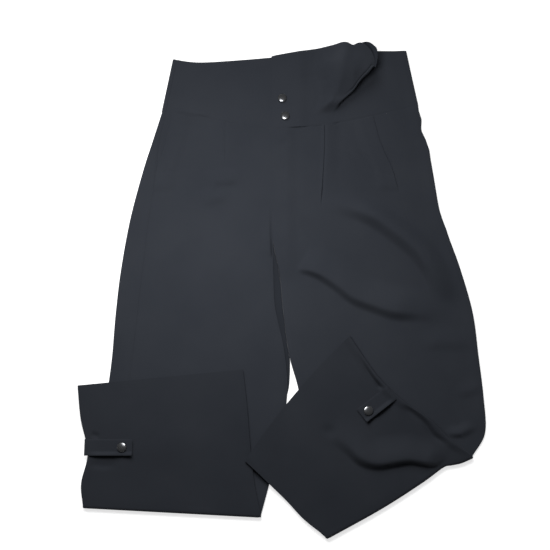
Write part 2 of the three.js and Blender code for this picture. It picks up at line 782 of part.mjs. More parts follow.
function snapCap() {
  const profile = [
    [0, 0], [CAP_RADIUS - 0.8, 0], [CAP_RADIUS, 0.5], [CAP_RADIUS, 1.1], [CAP_RADIUS - 0.9, 1.7],
    [CAP_RADIUS - 2.6, 2.5], [CAP_RADIUS - 4.8, CAP_HEIGHT - 0.2], [0, CAP_HEIGHT],
  ];
  const geometry = new THREE.LatheGeometry(profile.map(([r, h]) => new THREE.Vector2(r, h)), 16);
  return geometry.rotateX(Math.PI / 2);
}

const cloth = new THREE.MeshStandardMaterial({ color: 0x35383d, roughness: 0.9, metalness: 0 });
const metal = new THREE.MeshStandardMaterial({ color: 0xc9ccd0, roughness: 0.25, metalness: 1 });

function named(name, geometry, material, place = [0, 0, 0]) {
  const mesh = new THREE.Mesh(geometry, material);
  mesh.name = name;
  mesh.position.set(...place);
  return mesh;
}

const trousers = new THREE.Group();
for (const leg of [LEG_RIGHT, LEG_LEFT]) {
  trousers.add(named(`back_leg_${leg.side}`, backPanel(leg), cloth));
  trousers.add(named(`front_leg_${leg.side}`, frontPanel(leg), cloth));
  trousers.add(named(`pocket_side_${leg.side}`, pocketSide(leg), cloth));
  trousers.add(named(`tab_${leg.side}`, tabSolid(leg), cloth));
  const cap = tabPlace(leg, TABS[leg.side].snap, 0);
  trousers.add(named(`snap_cap_tab_${leg.side}`, snapCap(), metal,
    [cap.x, cap.y, cap.z + TAB_WALL / 2 + 2 * SEAM_GAP]));
}
trousers.add(named('waistband_back', backBand(), cloth));
trousers.add(named('waistband_front_right', rightBand(), cloth));
trousers.add(named('waistband_front_left', leftBand(), cloth));
for (const snap of BAND_SNAPS) {
  const seat = FRONT_LEVEL + LAYER + WALL / 2 + SEAM_GAP;
  trousers.add(named(snap.name, snapCap(), metal, [snap.x, snap.y, seat]));
}

// The origin is under the middle of the whole garment, on the surface it lies on
const box = new THREE.Box3().setFromObject(trousers);
const middle = box.getCenter(new THREE.Vector3());
trousers.position.set(-middle.x, -middle.y, -box.min.z);

const part = new THREE.Group();
part.add(trousers);

export default part;
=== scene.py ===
"""Looks of a pair of wide-leg trousers that lie on their back, both lower legs turned up over the front.

Tables and functions count in millimetres, with the same places as the solids' own tables. +X is the
wearer's left, +Y runs from the hems to the waist and +Z is up. Meshes are made in metres in the frame.
"""
import json
import math

import bpy
import numpy as np
from bpy.props import FloatProperty, FloatVectorProperty, PointerProperty
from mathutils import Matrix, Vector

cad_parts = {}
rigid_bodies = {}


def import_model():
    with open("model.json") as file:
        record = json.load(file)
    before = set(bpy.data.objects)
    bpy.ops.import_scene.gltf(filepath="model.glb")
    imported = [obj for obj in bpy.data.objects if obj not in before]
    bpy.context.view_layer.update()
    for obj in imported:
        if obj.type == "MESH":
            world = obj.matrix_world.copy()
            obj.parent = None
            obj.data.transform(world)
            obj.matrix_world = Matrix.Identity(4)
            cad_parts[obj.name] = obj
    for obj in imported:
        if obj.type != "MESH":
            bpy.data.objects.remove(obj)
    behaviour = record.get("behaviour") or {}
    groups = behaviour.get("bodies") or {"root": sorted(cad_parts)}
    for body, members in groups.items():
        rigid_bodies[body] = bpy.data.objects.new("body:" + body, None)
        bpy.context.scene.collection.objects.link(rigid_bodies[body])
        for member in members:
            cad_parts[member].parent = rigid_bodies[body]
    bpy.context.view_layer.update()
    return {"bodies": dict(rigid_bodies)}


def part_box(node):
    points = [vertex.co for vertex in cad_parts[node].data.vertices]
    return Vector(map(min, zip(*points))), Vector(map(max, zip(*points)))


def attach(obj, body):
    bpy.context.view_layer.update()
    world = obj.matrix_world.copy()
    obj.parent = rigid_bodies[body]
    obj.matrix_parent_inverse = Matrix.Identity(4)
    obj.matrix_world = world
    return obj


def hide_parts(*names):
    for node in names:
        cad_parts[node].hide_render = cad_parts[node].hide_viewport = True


bl_info = {
    "name": "Laid wide-leg trousers",
    "version": (1, 0, 0),
    "blender": (4, 5, 0),
    "location": "View3D > Sidebar > Trousers",
    "description": "Dresses laid wide-leg trousers in fine cloth, seams, snaps, floor and light",
    "category": "Object",
}

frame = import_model()
BODY = next(iter(frame["bodies"]))
MM = 0.001

# Cloth layers of the solids
WALL = 1.5
LAYER = 1.8
BACK_LEVEL = WALL / 2
FRONT_LEVEL = BACK_LEVEL + LAYER
TUBE_LEVEL = (BACK_LEVEL + FRONT_LEVEL) / 2
SOLID_GAP = 0.3

# How far sewn edges stay apart here, and how far the cloth sinks along them
SEAM_OPEN = 0.06
SEAM_REACH = 3.2
WAIST_SINK = 0.12
BAND_SIDE_OPEN = 0.02
BAND_SIDE_SINK = 0.05
INSEAM_DROP = 0.6
INSEAM_REACH = 6.0

# How far a cut edge's lower side lies in from its upper one, in thicknesses of the cloth
UNDERCUT = 0.65
EDGE_ANGLE = math.radians(60)

# Soft turn along the outer side, and the turn-up
SIDE_ROLL = 2.2
SIDE_ROLL_WIDTH = 20
FLAP_ROLL_WIDTH = 14
TURN_UP_RADIUS = 2.6
TURN_UP_SETTLE = 45
FLAP_LOOSE = 0.8
DENT_REACH = 60
HIDDEN_GAP = 0.5
SIDE_TURN_STEPS = 12
TURN_UP_STEPS = 14

# Front opening
OPENING_EDGE = -6
FLY_LAP = 12
BAND_LAP = 34
LAP_REST = 11
LAP_SLOPE = 20
FLY_CLOSED, FLY_GONE, FLY_FLAT = 85, 45, -15
FRONT_CALM_EDGE = (3, 26)
FRONT_CALM_TURN_UP = (12, 60)
FLAP_CALM_EDGE = (2, 16)
FLAP_CALM_TURN_UP = (0, 9)

# Waistband
WAIST_SEAM = [(-188, 276), (-133, 270), (-66, 256), (-6, 248), (45, 250), (95, 255), (157, 268), (239, 288)]
WAIST_TOP = [
    (-171, 369), (-126, 364), (-55, 368.5), (0, 373.5), (54, 381), (100, 384), (150, 384.5), (222, 384.3),
]
SLACK_TOP = [
    (-6, 374), (6, 377), (53, 386), (73, 389), (89, 390.3), (105, 390.6), (113, 390), (121, 387.3),
    (129, 383.2), (137, 387.3), (144, 388), (150, 384.5), (156, 378.5), (160.5, 372), (163.9, 363), (165.5, 355),
]
FAR_TOP = [(132, 390), (139, 395), (149, 397.4), (157, 395), (163.7, 388.3), (171, 377.5)]
BAND_END_RIGHT = (-188, -171.5)
BAND_END_LEFT = (238, 221)
BAND_SEAM_LEFT = (185, 186)
BAND_STRIP_RIGHT = 7
BAND_ROLL = 1.6
BAND_TALL = 115
BAND_TALL_AT_CREASE = 118
BAND_TOP_DROP = 0.35
CREASE = [
    (0, 88), (0.2, 103), (0.29, 115.5), (0.37, 127), (0.45, 137), (0.6, 153.5), (0.75, 162.5),
    (0.87, 168), (1, 170),
]
SLACK = {
    "apex": 0.13, "full_by": 0.8, "first_turn": 2, "full_turn": 150, "turned_by": 0.2, "arc": (4, 9),
    "back": (2, 28), "slope_from": (34, 100), "slope_to": (12, 42), "droop": 5,
    "top_droop": 5, "far_from": 0.55,
}
RIM = {"inset": 3.0, "width": 1.0, "depth": 1.3, "bulge": 0.4, "from": 0.3, "full_by": 0.42}

# Pocket mouths, tabs and snaps
# The line of a pocket mouth shows from the first of these heights on, fully from the second
MOUTH_LINE = (188, 232)
POCKET = {"lap": 10, "rest": 10, "slope": 16, "end": 150, "fade": 14, "station": 2}
TABS = {
    "right": {
        "root": (-290, -271.5), "turn": 0, "length": 71.5, "width": 25, "lift": 1.2, "raised": -1, "snap": 56,
    },
    "left": {
        "root": (180, -188.5), "turn": 217, "length": 58, "width": 25, "lift": 1.2, "raised": 1, "snap": 45.5,
    },
}
TAB_WALL = 2
TAB_RISE_SHARE = 0.6
TAB_EDGE_LIFT = 3.4
TAB_ROOT_DROP = 3.0
TAB_EDGE_DROP = 0.45
UPPER_SNAP_PLACE = (12, 299)

# The right back's inner edge below the place where the legs part, by length
PARTING = [(-270, 2), (-240, 7), (-209, 13.6), (-182, 21.2), (-160, 23.2), (-140, 23.7)]
PARTED = (-132, -140)

# Stretches of the waist seam that are pulled in: middle, half length and depth
WAIST_DASHES = [(64, 15, 0.5), (102.5, 5, 1.5), (150, 45, 0.3), (-118, 9, 0.7)]

# Stations down each leg as the solids have them, by column
LEGS = {
    "right": {
        "side": "right",
        "outward": -1,
        "outline": [(-187, 276), (-201, 226), (-216, 172), (-234, 92), (-246, 10), (-252, -60), (-256, -135),
                    (-263, -200), (-276, -280), (-291, -358)],
        "seam": [(-180, 275), (-190, 222), (-195, 168), (-205, 88), (-212, 8), (-218, -60), (-224, -135),
                 (-232, -202), (-247, -284), (-268, -359.2)],
        "mouth": [(-170, 274), (-181, 220), (-195, 168), (-205, 88)],
        "inner": [(-6, 248), (-5, 190), (-4, 132), (-4, 62), (-2.5, 0), (0.5, -55), (14.5, -122), (19, -190),
                  (6, -270), (-21, -372)],
        "flap_outline": [(-291, -358), (-295, -325), (-287, -280), (-300, -228), (-307, -177)],
        "flap_inner": [(-21, -372), (-31, -328), (-38, -270), (-43, -212), (-50, -152)],
        "flap_roll": 1.2,
        "roll_from": 225,
        "roll_to": 270,
        "hem_bow": 0,
        "dent": [(0, 0), (270, 0)],
        "bumps": [(-400, 0), (300, 0)],
        "seam_open": 0.08,
        "seam_sink": 0.5,
        "mouth_sink": 0.25,
        "crossing": None,
    },
    "left": {
        "side": "left",
        "outward": 1,
        "outline": [(238, 288), (243, 240), (256, 180), (271, 90), (295, 10), (312, -62), (318, -130),
                    (323, -195), (323, -249), (302, -284)],
        "seam": [(185, 275), (190, 224), (194, 168), (214, 92), (232, 8), (246, -64), (260, -132),
                 (273, -200), (286, -252), (290, -290.4)],
        "mouth": [(162, 268), (174, 220), (194, 168), (214, 92)],
        "inner": [(-6, 248), (-5, 190), (-4, 132), (-4, 62), (7.5, 0), (12.5, -55), (22.5, -130), (38, -190),
                  (55, -302), (76.5, -404)],
        "flap_outline": [(302, -284), (272, -261), (241, -229), (201, -201), (160, -161), (118, -99)],
        "flap_inner": [(76.5, -404), (44, -379), (18, -352), (-6, -329), (-28, -308), (-46, -292)],
        "flap_roll": 3.6,
        "roll_from": 10,
        "roll_to": 60,
        "hem_bow": 7.5,
        "dent": [(0, 0), (20, 1.8), (35, 6.2), (48, 9.3), (89, 4.4), (162, 0), (256, 0)],
        "bumps": [(57, 1.2), (74, 1.6), (107, -1), (175, 0.8), (192, 1.8), (209, 4), (227, 3), (244, -1),
                  (262, 2.6), (279, -0.6), (290, 0)],
        "seam_open": 0.02,
        "seam_sink": 0.05,
        "mouth_sink": 0.3,
        "crossing": {"from": 20, "to": -30, "lift": 2 * LAYER + 1.4},
    },
}

# Floor and lights, in metres in the frame
FLOOR_SIDE = 4.0
FLOOR_LEVEL = -0.0004
NEAR_LIGHT = {"place": (-0.12, 0.12, 0.5), "target": (-0.1, 0.1, 0.0), "size": (0.3, 0.25), "power": 2.05}
FAR_LIGHT = {"aim": (0.2, -0.74, -0.64), "strength": 1.45, "spread": math.radians(36)}


def fold(path, height, gentle, steep, start=0.3, end=0.3, steep_end=None):
    """A fold along a path, steep on its right-hand side as the path runs; negative height sinks it"""
    steep = (steep, steep if steep_end is None else steep_end)
    return {"path": path, "height": height, "gentle": gentle, "steep": steep, "start": start, "end": end}


# Large folds, which the solids have too
FRONT_FOLDS = {
    "right": [
        fold([(-81, 258), (-81, 215), (-82, 178)], 2.2, 30, 8, 0, 0.6),
        fold([(-122, 118), (-100, 128), (-66, 135)], 2.5, 26, 16, 0.4, 0.4),
    ],
    "left": [
        fold([(84, 254), (82, 190), (79, 121)], 3, 26, 7, 0, 0.55),
        fold([(80, 123), (121, 111), (159, 94.5), (188, 73.5), (222, 44.5), (244, 16.5), (267, -22),
              (291, -47)], 11, 34, 19, 0.3, 0.3),
        fold([(36, 12.5), (45, 8.5), (70.5, 0.5), (98, -16.5), (124.5, -37), (155, -49), (187.5, -59.5),
              (221, -61.5), (276, -62.5)], 8, 46, 8.5, 0.25, 0.25, 18),
    ],
}
FLAP_FOLDS = {
    "right": [fold([(-70, -262), (-160, -268), (-240, -262)], 1.6, 45, 45, 0.5, 0.5)],
    "left": [fold([(84, -247), (98, -255), (118, -272), (134, -288), (156, -295), (182, -292.5), (207, -291),
                   (236, -299.5), (266, -308)], 10, 42, 19, 0.4, 0.15, 6)],
}

# Smaller creases and hollows on the upper legs and waistband, and on the turned-up legs
CREASES = [
    fold([(-114, 147), (-84, 160), (-46, 158)], 2.0, 24, 16, 0.35, 0.35),
    fold([(-142, 70), (-152, 50), (-164, 22)], 0.9, 16, 14, 0.4, 0.5),
    fold([(-170, 262), (-140, 250), (-100, 247)], -1.4, 16, 18, 0.4, 0.5),
    fold([(20, 214), (14, 232)], -0.9, 14, 10, 0.4, 0.4),
    fold([(-174, 279), (-140, 275), (-96, 266)], 2.0, 24, 9, 0.4, 0.4),
    fold([(114, 225), (133, 189), (158, 170)], -0.5, 6, 8, 0.35, 0.2),
    fold([(132, 213), (154, 193), (167, 169)], -0.8, 5, 7, 0.35, 0.05),
    fold([(40, 96), (58, 72), (84, 36)], -1.2, 18, 14, 0.4, 0.4),
    fold([(40, 4), (58, 0), (86, -14)], -1.0, 5, 7, 0.3, 0.5),
    fold([(226, -112), (262, -108), (312, -110)], 1.8, 26, 16, 0.4, 0.2),
    fold([(280, -188), (300, -186), (322, -176)], 1.6, 16, 9, 0.4, 0.2),
    fold([(262, -246), (284, -250), (312, -236)], 3.2, 15, 9, 0.4, 0.3),
    fold([(40, 338), (58, 338), (76, 341)], -0.8, 9, 9, 0.4, 0.3),
    fold([(40, 324), (70, 330), (98, 330)], -0.5, 5, 5, 0.35, 0.3),
    fold([(99, 327), (100, 304), (101, 280)], -1.0, 3.2, 2.6, 0.15, 0.25),
    fold([(14, 288), (40, 282)], -0.7, 9, 9, 0.3, 0.4),
    fold([(-6, 120), (-5, 62), (-3.5, 24)], -1.2, 2.6, 3, 0.5, 0.1),
    fold([(-7.5, 26), (-9, 64), (-10, 122)], 1.3, 16, 3.5, 0.2, 0.5),
    fold([(-57, 152), (-81, 146), (-103, 149)], -1.2, 26, 8, 0.3, 0.3),
    fold([(175, 172), (193, 164)], -0.8, 2.4, 2.4, 0.1, 0.1),
    fold([(-184, 171.5), (-162, 171.5)], -0.8, 2.4, 2.4, 0.1, 0.1),
]
FLAP_CREASES = [
    fold([(128, -124), (140, -147), (150, -163), (164, -181)], -3.6, 5, 6, 0.5, 0.04),
    fold([(156, -168), (166, -182)], -1.6, 5, 6, 0.5, 0.05),
    fold([(196, -206), (227, -231), (243, -253), (268, -272)], -3.4, 8, 8, 0.15, 0.3),
    fold([(204, -199), (232, -214), (256, -232), (284, -262)], 2.4, 7, 10, 0.3, 0.2),
    fold([(70, -238), (96, -256)], -1.6, 14, 12, 0.5, 0.5),
    fold([(-284, -252), (-268, -257)], -2.0, 8, 5, 0.3, 0.4),
    fold([(-290, -296), (-262, -300), (-236, -298)], -1.2, 12, 7, 0.3, 0.5),
]

# Pleat lines that the mesh follows: where they run, and how strong they are against the profile below
PLEATS = {
    "right": {"path": [(-83, 258), (-83, 215), (-82, 176)], "strength": 0.3, "fade": 0.4},
    "left": {"path": [(81, 252), (80, 208), (77, 157), (74.5, 112)], "strength": 1.0, "fade": 0.2},
}

# Profile across a pleat: place aside from its line, how far the cloth is moved over it, and its height
PLEAT_FINE = np.array([-6, -4.2, -2.8, -1.8, -1.1, -0.5, 0, 0.5, 1.1, 1.8, 2.8, 4.2, 6])
PLEAT_MOVED = np.array([0, 0, 0.1, 0.3, 0.6, 1.0, 0.5, 0, 0, 0, 0, 0, 0])
PLEAT_HEIGHT = np.array([0, 0.05, 0.2, 0.4, 0.6, 0.1, -1.6, -2.2, -1.7, -1.0, -0.4, -0.1, 0])
FINE = np.array([0, 0.5, 1.1, 1.9, 2.9, 4.2, 6.0])

# The cut of each piece laid flat, width by length, and its area, in metres and square metres
CUTS = {
    "front_leg_right": ((0.32, 0.86), 0.19),
    "front_leg_left": ((0.34, 0.86), 0.18),
    "back_leg_right": ((0.36, 0.86), 0.23),
    "back_leg_left": ((0.38, 0.86), 0.25),
    "pocket_side_right": ((0.03, 0.13), 0.002),
    "pocket_side_left": ((0.04, 0.13), 0.0027),
    "waistband_back": ((0.46, 0.14), 0.055),
    "waistband_front_right": ((0.21, 0.13), 0.022),
    "waistband_front_left": ((0.25, 0.14), 0.028),
    "tab_right": ((0.075, 0.025), None),
    "tab_left": ((0.062, 0.025), None),
}


def smooth(start, end, value):
    """Smooth share from 0 at start to 1 at end, which may be the lower one"""
    share = np.clip((np.asarray(value, float) - start) / (end - start), 0, 1)
    return share * share * (3 - 2 * share)


def mix(start, end, share):
    return start + (end - start) * share


def line_of(points, position):
    """Places on a smooth line through a table's points, at positions counted in points"""
    points = np.asarray(points, float)
    ends = np.vstack([2 * points[0] - points[1], points, 2 * points[-1] - points[-2]])
    position = np.clip(np.asarray(position, float), 0, len(points) - 1)
    index = np.minimum(position.astype(int), len(points) - 2)
    part = (position - index)[..., None]
    before, start, end, after = (ends[index + step] for step in range(4))
    leave = (end - before) / 2
    arrive = (after - start) / 2
    square = (3 * (end - start) - 2 * leave - arrive) * part ** 2
    cube = (2 * (start - end) + leave + arrive) * part ** 3
    return start + leave * part + square + cube


def height_at(points, first):
    """Second coordinate of a smooth line at its first coordinate"""
    line = line_of(points, np.linspace(0, len(points) - 1, 400))
    return np.interp(first, line[:, 0], line[:, 1])


def fold_height(shape, x, y):
    """Height that one fold adds at places in plan"""
    steps = 40
    path = shape["path"]
    line = line_of(path, np.linspace(0, len(path) - 1, steps + 1))
    nearest = np.full(np.shape(x), np.inf)
    side = np.zeros(np.shape(x))
    along = np.zeros(np.shape(x))
    for index in range(steps):
        (sx, sy), (dx, dy) = line[index], line[index + 1] - line[index]
        share = np.clip(((x - sx) * dx + (y - sy) * dy) / (dx * dx + dy * dy), 0, 1)
        gap = np.hypot(x - sx - share * dx, y - sy - share * dy)
        closer = gap < nearest
        nearest = np.where(closer, gap, nearest)
        side = np.where(closer, np.sign(dx * (y - sy) - dy * (x - sx)), side)
        along = np.where(closer, (index + share) / steps, along)
    width = np.where(side > 0, shape["gentle"], mix(*shape["steep"], along))
    started = smooth(0, shape["start"], along) if shape["start"] else 1
    ended = smooth(1, 1 - shape["end"], along) if shape["end"] else 1
    return shape["height"] * smooth(1, 0, nearest / width) * started * ended


def folds_height(shapes, x, y):
    return sum((fold_height(shape, x, y) for shape in shapes), np.zeros(np.shape(x)))


def ripple(x, y):
    """Slight waves that cloth keeps when it is laid down by hand"""
    long_wave = np.sin(x / 31 + 1.7 * np.sin(y / 53)) * np.sin(y / 47 + 0.8 * np.sin(x / 61))
    short_wave = np.sin(x / 13 + y / 29 + 2 * np.sin(y / 23)) * np.sin(y / 17 - x / 37)
    return 0.3 * long_wave + 0.1 * short_wave


def unit(vectors):
    length = np.linalg.norm(vectors, axis=-1)
    return vectors / length[..., None], length


def turn_up(leg):
    """The line that a leg is turned up along: start, direction across, width and direction outward"""
    start = np.array(leg["outline"][-1], float)
    across, width = unit(np.array(leg["inner"][-1], float) - start)
    outward = np.array([across[1], -across[0]]) * -leg["outward"]
    return start, across, width, outward


def from_turn_up(leg, x, y):
    start, across, _, _ = turn_up(leg)
    return np.abs((x - start[0]) * across[1] - (y - start[1]) * across[0])


def front_edge(leg, position):
    """The front's outer edge: the pocket mouth, and the side seam below it"""
    on_mouth = (position < POCKET["station"])[:, None]
    return np.where(on_mouth, line_of(leg["mouth"], position), line_of(leg["seam"], position))


def back_inner_edge(leg, position):
    """The back's inner edge; the right one follows the left leg's edge as far as the legs touch"""
    edge = line_of(leg["inner"], position)
    if leg["side"] == "left":
        return edge
    other = line_of(LEGS["left"]["inner"], np.linspace(3, 6.2, 300))[::-1]
    beside = np.interp(edge[:, 1], other[:, 1], other[:, 0])
    parting = height_at(PARTING, edge[:, 1])
    below = smooth(*PARTED, edge[:, 1])
    touching = edge[:, 1] < LEGS["left"]["inner"][3][1]
    near = edge[:, 1] > PARTING[0][0]
    edge[:, 0] = np.where(touching & near, mix(beside, parting, below), edge[:, 0])
    return edge


def outline_edge(leg, position):
    """The outline with its small bumps"""
    edge = line_of(leg["outline"], position)
    edge[:, 0] += np.interp(edge[:, 1], *np.transpose(leg["bumps"]))
    return edge


def flap_width(leg, position):
    across = line_of(leg["flap_inner"], position) - line_of(leg["flap_outline"], position)
    return np.linalg.norm(across, axis=1)


def flap_places(leg, position, distance):
    """Places in plan on turned-up rows, where the hem bows out between its two ends"""
    edge = line_of(leg["flap_outline"], position)
    across, width = unit(line_of(leg["flap_inner"], position) - edge)
    last = len(leg["flap_outline"]) - 1
    share = distance / width[:, None]
    near_hem = smooth(last - 2, last, position)[:, None]
    bow = 4 * leg["hem_bow"] * share * (1 - share) * near_hem * leg["outward"]
    x = edge[:, :1] + across[:, :1] * distance + across[:, 1:] * bow
    y = edge[:, 1:] + across[:, 1:] * distance - across[:, :1] * bow
    return x, y


def dented(leg, grid):
    """Grid with its points near the turn-up pushed in, as far as the dent is deep there"""
    start, across, _, outward = turn_up(leg)
    x, y = grid[..., 0], grid[..., 1]
    along = (x - start[0]) * across[0] + (y - start[1]) * across[1]
    push = smooth(DENT_REACH, 0, from_turn_up(leg, x, y)) * height_at(leg["dent"], along)
    return grid - np.concatenate([push[..., None] * outward, np.zeros_like(push[..., None])], axis=-1)


def side_turn(roll):
    return (LAYER + roll + WALL) / 2


def side_roll(leg, x, y):
    return SIDE_ROLL * smooth(leg["roll_from"], leg["roll_to"], from_turn_up(leg, x, y))


def roll_shape(distance, roll, width):
    """Share of a roll's height in from the outline"""
    return smooth(1, 0, (distance - side_turn(roll)) / width)


def front_folds(leg, x, y, distance):
    along = from_turn_up(leg, x, y)
    fade = smooth(*FRONT_CALM_EDGE, distance) * smooth(*FRONT_CALM_TURN_UP, along)
    calm = smooth(0, 8, distance) * smooth(2, 20, along)
    small = folds_height(CREASES, x, y) + ripple(x, y)
    return fade * folds_height(FRONT_FOLDS[leg["side"]], x, y) + calm * small


def lap_lift(x, lap):
    return LAYER * smooth(lap + LAP_REST + LAP_SLOPE, lap + LAP_REST, x - OPENING_EDGE)


def front_level(leg, x, y, distance):
    """Middle level of the top cloth on an upper leg"""
    roll = side_roll(leg, x, y)
    level = FRONT_LEVEL + front_folds(leg, x, y, distance)
    level = level + roll * roll_shape(distance, roll, SIDE_ROLL_WIDTH)
    if leg["side"] == "left":
        level = level + lap_lift(x, FLY_LAP) * smooth(FLY_FLAT, FLY_GONE - 10, y)
    return level


def flap_level(leg, x, y):
    """Middle level of the turned-up tube"""
    settled = FRONT_LEVEL + LAYER + LAYER / 2
    at_turn_up = TUBE_LEVEL + 2 * TURN_UP_RADIUS
    share = smooth(TURN_UP_SETTLE, 0, from_turn_up(leg, x, y))
    crossing = leg["crossing"]
    lift = crossing["lift"] * smooth(crossing["from"], crossing["to"], x) if crossing else 0
    return mix(settled, at_turn_up, share) + lift


def flap_loose(leg, x, y):
    return FLAP_LOOSE * smooth(0, TURN_UP_SETTLE, from_turn_up(leg, x, y))


def flap_folds(leg, x, y, distance):
    along = from_turn_up(leg, x, y)
    fade = smooth(*FLAP_CALM_TURN_UP, along)
    large = smooth(*FLAP_CALM_EDGE, distance) * folds_height(FLAP_FOLDS[leg["side"]], x, y)
    small = smooth(0, 5, distance) * (folds_height(FLAP_CREASES, x, y) + ripple(x, y))
    return fade * (large + small)


def flap_top(leg, x, y, distance):
    """Middle level of the cloth that shows on a turned-up leg"""
    roll = leg["flap_roll"] * roll_shape(distance, leg["flap_roll"], FLAP_ROLL_WIDTH)
    return flap_level(leg, x, y) + LAYER / 2 + roll + flap_loose(leg, x, y) + flap_folds(leg, x, y, distance)


def sunk(distance, depth):
    """How far cloth sinks at a distance from a seam"""
    return depth * smooth(SEAM_REACH, 0, distance)


def waist_sink(x):
    """How deep the cloth sinks along the waist seam"""
    return WAIST_SINK + sum(deep * np.exp(-((x - middle) / half) ** 4) for middle, half, deep in WAIST_DASHES)


def pleat_relief(leg, x, y):
    """How far the cloth is moved over a pleat's line, and its height there"""
    pleat = PLEATS[leg["side"]]
    line = line_of(pleat["path"], np.linspace(0, len(pleat["path"]) - 1, 60))[::-1]
    aside = x - np.interp(y, line[:, 1], line[:, 0])
    top, bottom = line[-1, 1], line[0, 1]
    alive = pleat["strength"] * smooth(bottom, bottom + (top - bottom) * pleat["fade"], y)
    moved, raised = (np.interp(aside, PLEAT_FINE, profile) for profile in (PLEAT_MOVED, PLEAT_HEIGHT))
    return alive * moved, alive * raised


def positions(leg, outer, inner, step, fine_start=True):
    """Positions down a leg's stations, in even steps of length and closer together at the first one"""
    dense = np.linspace(0, len(leg[inner]) - 1, 900)
    middle = (line_of(leg[outer], dense) + line_of(leg[inner], dense)) / 2
    along = np.concatenate([[0], np.cumsum(np.linalg.norm(np.diff(middle, axis=0), axis=1))])
    first = FINE if fine_start else FINE[:1]
    count = max(2, round((along[-1] - first[-1]) / step))
    wanted = np.concatenate([first, np.linspace(first[-1], along[-1], count + 1)[1:]])
    return np.interp(wanted, along, dense)


def spaced(width, step, centre=None):
    """Distances across each row, close together at both ends and on both sides of a centre"""
    width = np.atleast_1d(width)[:, None]
    ends = [np.broadcast_to(FINE, (len(width), len(FINE))), width - FINE[::-1]]
    count = max(2, round((width.max() - 2 * FINE[-1]) / step))
    if centre is None:
        share = np.linspace(0, 1, count + 1)[1:-1]
        return np.hstack([ends[0], mix(FINE[-1], width - FINE[-1], share), ends[1]])
    group = centre[:, None] + PLEAT_FINE
    part = float(np.mean(centre / width[:, 0]))
    left = np.linspace(0, 1, max(2, round(count * part)) + 1)[1:-1]
    right = np.linspace(0, 1, max(2, round(count * (1 - part))) + 1)[1:-1]
    return np.hstack([
        ends[0], mix(FINE[-1], group[:, :1], left), group,
        mix(group[:, -1:], width - FINE[-1], right), ends[1],
    ])


def grid_normals(grid):
    rows = np.concatenate([grid[:1], grid, grid[-1:]])
    columns = np.concatenate([grid[:, :1], grid, grid[:, -1:]], axis=1)
    down = rows[2:] - rows[:-2]
    across = columns[:, 2:] - columns[:, :-2]
    normal = np.cross(down, across)
    return normal / np.maximum(np.linalg.norm(normal, axis=2, keepdims=True), 1e-9)


def rim_places(rows, columns):
    """Row and column of each point round a grid's edge, in order"""
    right = [(0, column) for column in range(columns - 1)]
    down = [(row, columns - 1) for row in range(rows - 1)]
    left = [(rows - 1, column) for column in range(columns - 1, 0, -1)]
    up = [(row, 0) for row in range(rows - 1, 0, -1)]
    return np.array(right + down + left + up)


def cloth_mesh(name, grid, sizes, upright=None, wall=WALL, turned_from=None):
    """Closed cloth round a grid of points that lie in the middle of the solid's wall, outer side first.
    Its inner faces are in the second material slot, whose darker tone is partly painted shade, and rows from
    turned_from on in the third, a darker copy that paints shade"""
    rows, columns = grid.shape[:2]
    thickness = min(sizes.cloth_thickness / MM, wall)
    normal = grid_normals(grid)
    flipped = normal[0, :3, 2].mean() < 0
    if flipped:
        normal = -normal
    if upright is not None:
        straight = np.zeros_like(normal)
        straight[..., 2] = np.where(normal[..., 2] < 0, -1, 1)
        normal = np.where(upright[..., None], straight, normal)
    outer = grid + normal * wall / 2
    inner = outer - normal * thickness
    rim = rim_places(rows, columns)
    inside = np.clip(rim, 1, (rows - 2, columns - 2))
    edge = grid[rim[:, 0], rim[:, 1]]
    outward, _ = unit(edge - grid[inside[:, 0], inside[:, 1]])
    inner[rim[:, 0], rim[:, 1]] -= outward * thickness * UNDERCUT
    middle = outer[rim[:, 0], rim[:, 1]] * 0.6 + inner[rim[:, 0], rim[:, 1]] * 0.4
    count = rows * columns
    index = np.arange(count).reshape(rows, columns)
    quads = np.stack([index[:-1, :-1], index[1:, :-1], index[1:, 1:], index[:-1, 1:]], axis=-1).reshape(-1, 4)
    ring = index[rim[:, 0], rim[:, 1]]
    following = np.roll(ring, -1)
    middle_ring = 2 * count + np.arange(len(ring))
    middle_next = np.roll(middle_ring, -1)
    faces = np.vstack([
        quads,
        quads[:, ::-1] + count,
        np.stack([ring, following, middle_next, middle_ring], axis=-1),
        np.stack([middle_ring, middle_next, following + count, ring + count], axis=-1),
    ])
    if flipped:
        faces = faces[:, ::-1]
    points = np.vstack([outer.reshape(-1, 3), inner.reshape(-1, 3), middle])
    first_turned = rows if turned_from is None else turned_from
    quad_slots = np.where(np.arange(rows - 1) < first_turned, 0, 2).repeat(columns - 1)
    rim_slots = np.where(rim[:, 0] < first_turned, 0, 2)
    slots = np.concatenate([quad_slots, np.ones(len(quads)), rim_slots, rim_slots])
    return mesh_object(name, points, faces, slots)


def mesh_object(name, points, faces, slots):
    """A smooth mesh in the frame, with a material slot for each face"""
    mesh = bpy.data.meshes.new(name)
    mesh.from_pydata(((points + SHIFT) * MM).tolist(), [], faces.tolist())
    mesh.shade_smooth()
    mesh.set_sharp_from_angle(angle=EDGE_ANGLE)
    mesh.polygons.foreach_set("material_index", slots.astype(np.int32))
    made = bpy.data.objects.new(name, mesh)
    bpy.context.scene.collection.objects.link(made)
    return made


def stack(x, y, z):
    return np.stack([x, y, z], axis=-1)


def unit_shift():
    """From the tables' places to the frame's, worked out from the upper snap"""
    low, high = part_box("snap_cap_upper")
    middle = (low + high) / 2
    return np.array([middle.x / MM - UPPER_SNAP_PLACE[0], middle.y / MM - UPPER_SNAP_PLACE[1], 0])


SHIFT = unit_shift()


def waist_fit(x, y, position):
    """Rows near the waist moved so that the first one follows the waist seam"""
    moved = height_at(WAIST_SEAM, x[0]) - SEAM_OPEN / 2 - y[0]
    return y + moved * smooth(0.8, 0, position)[:, None]


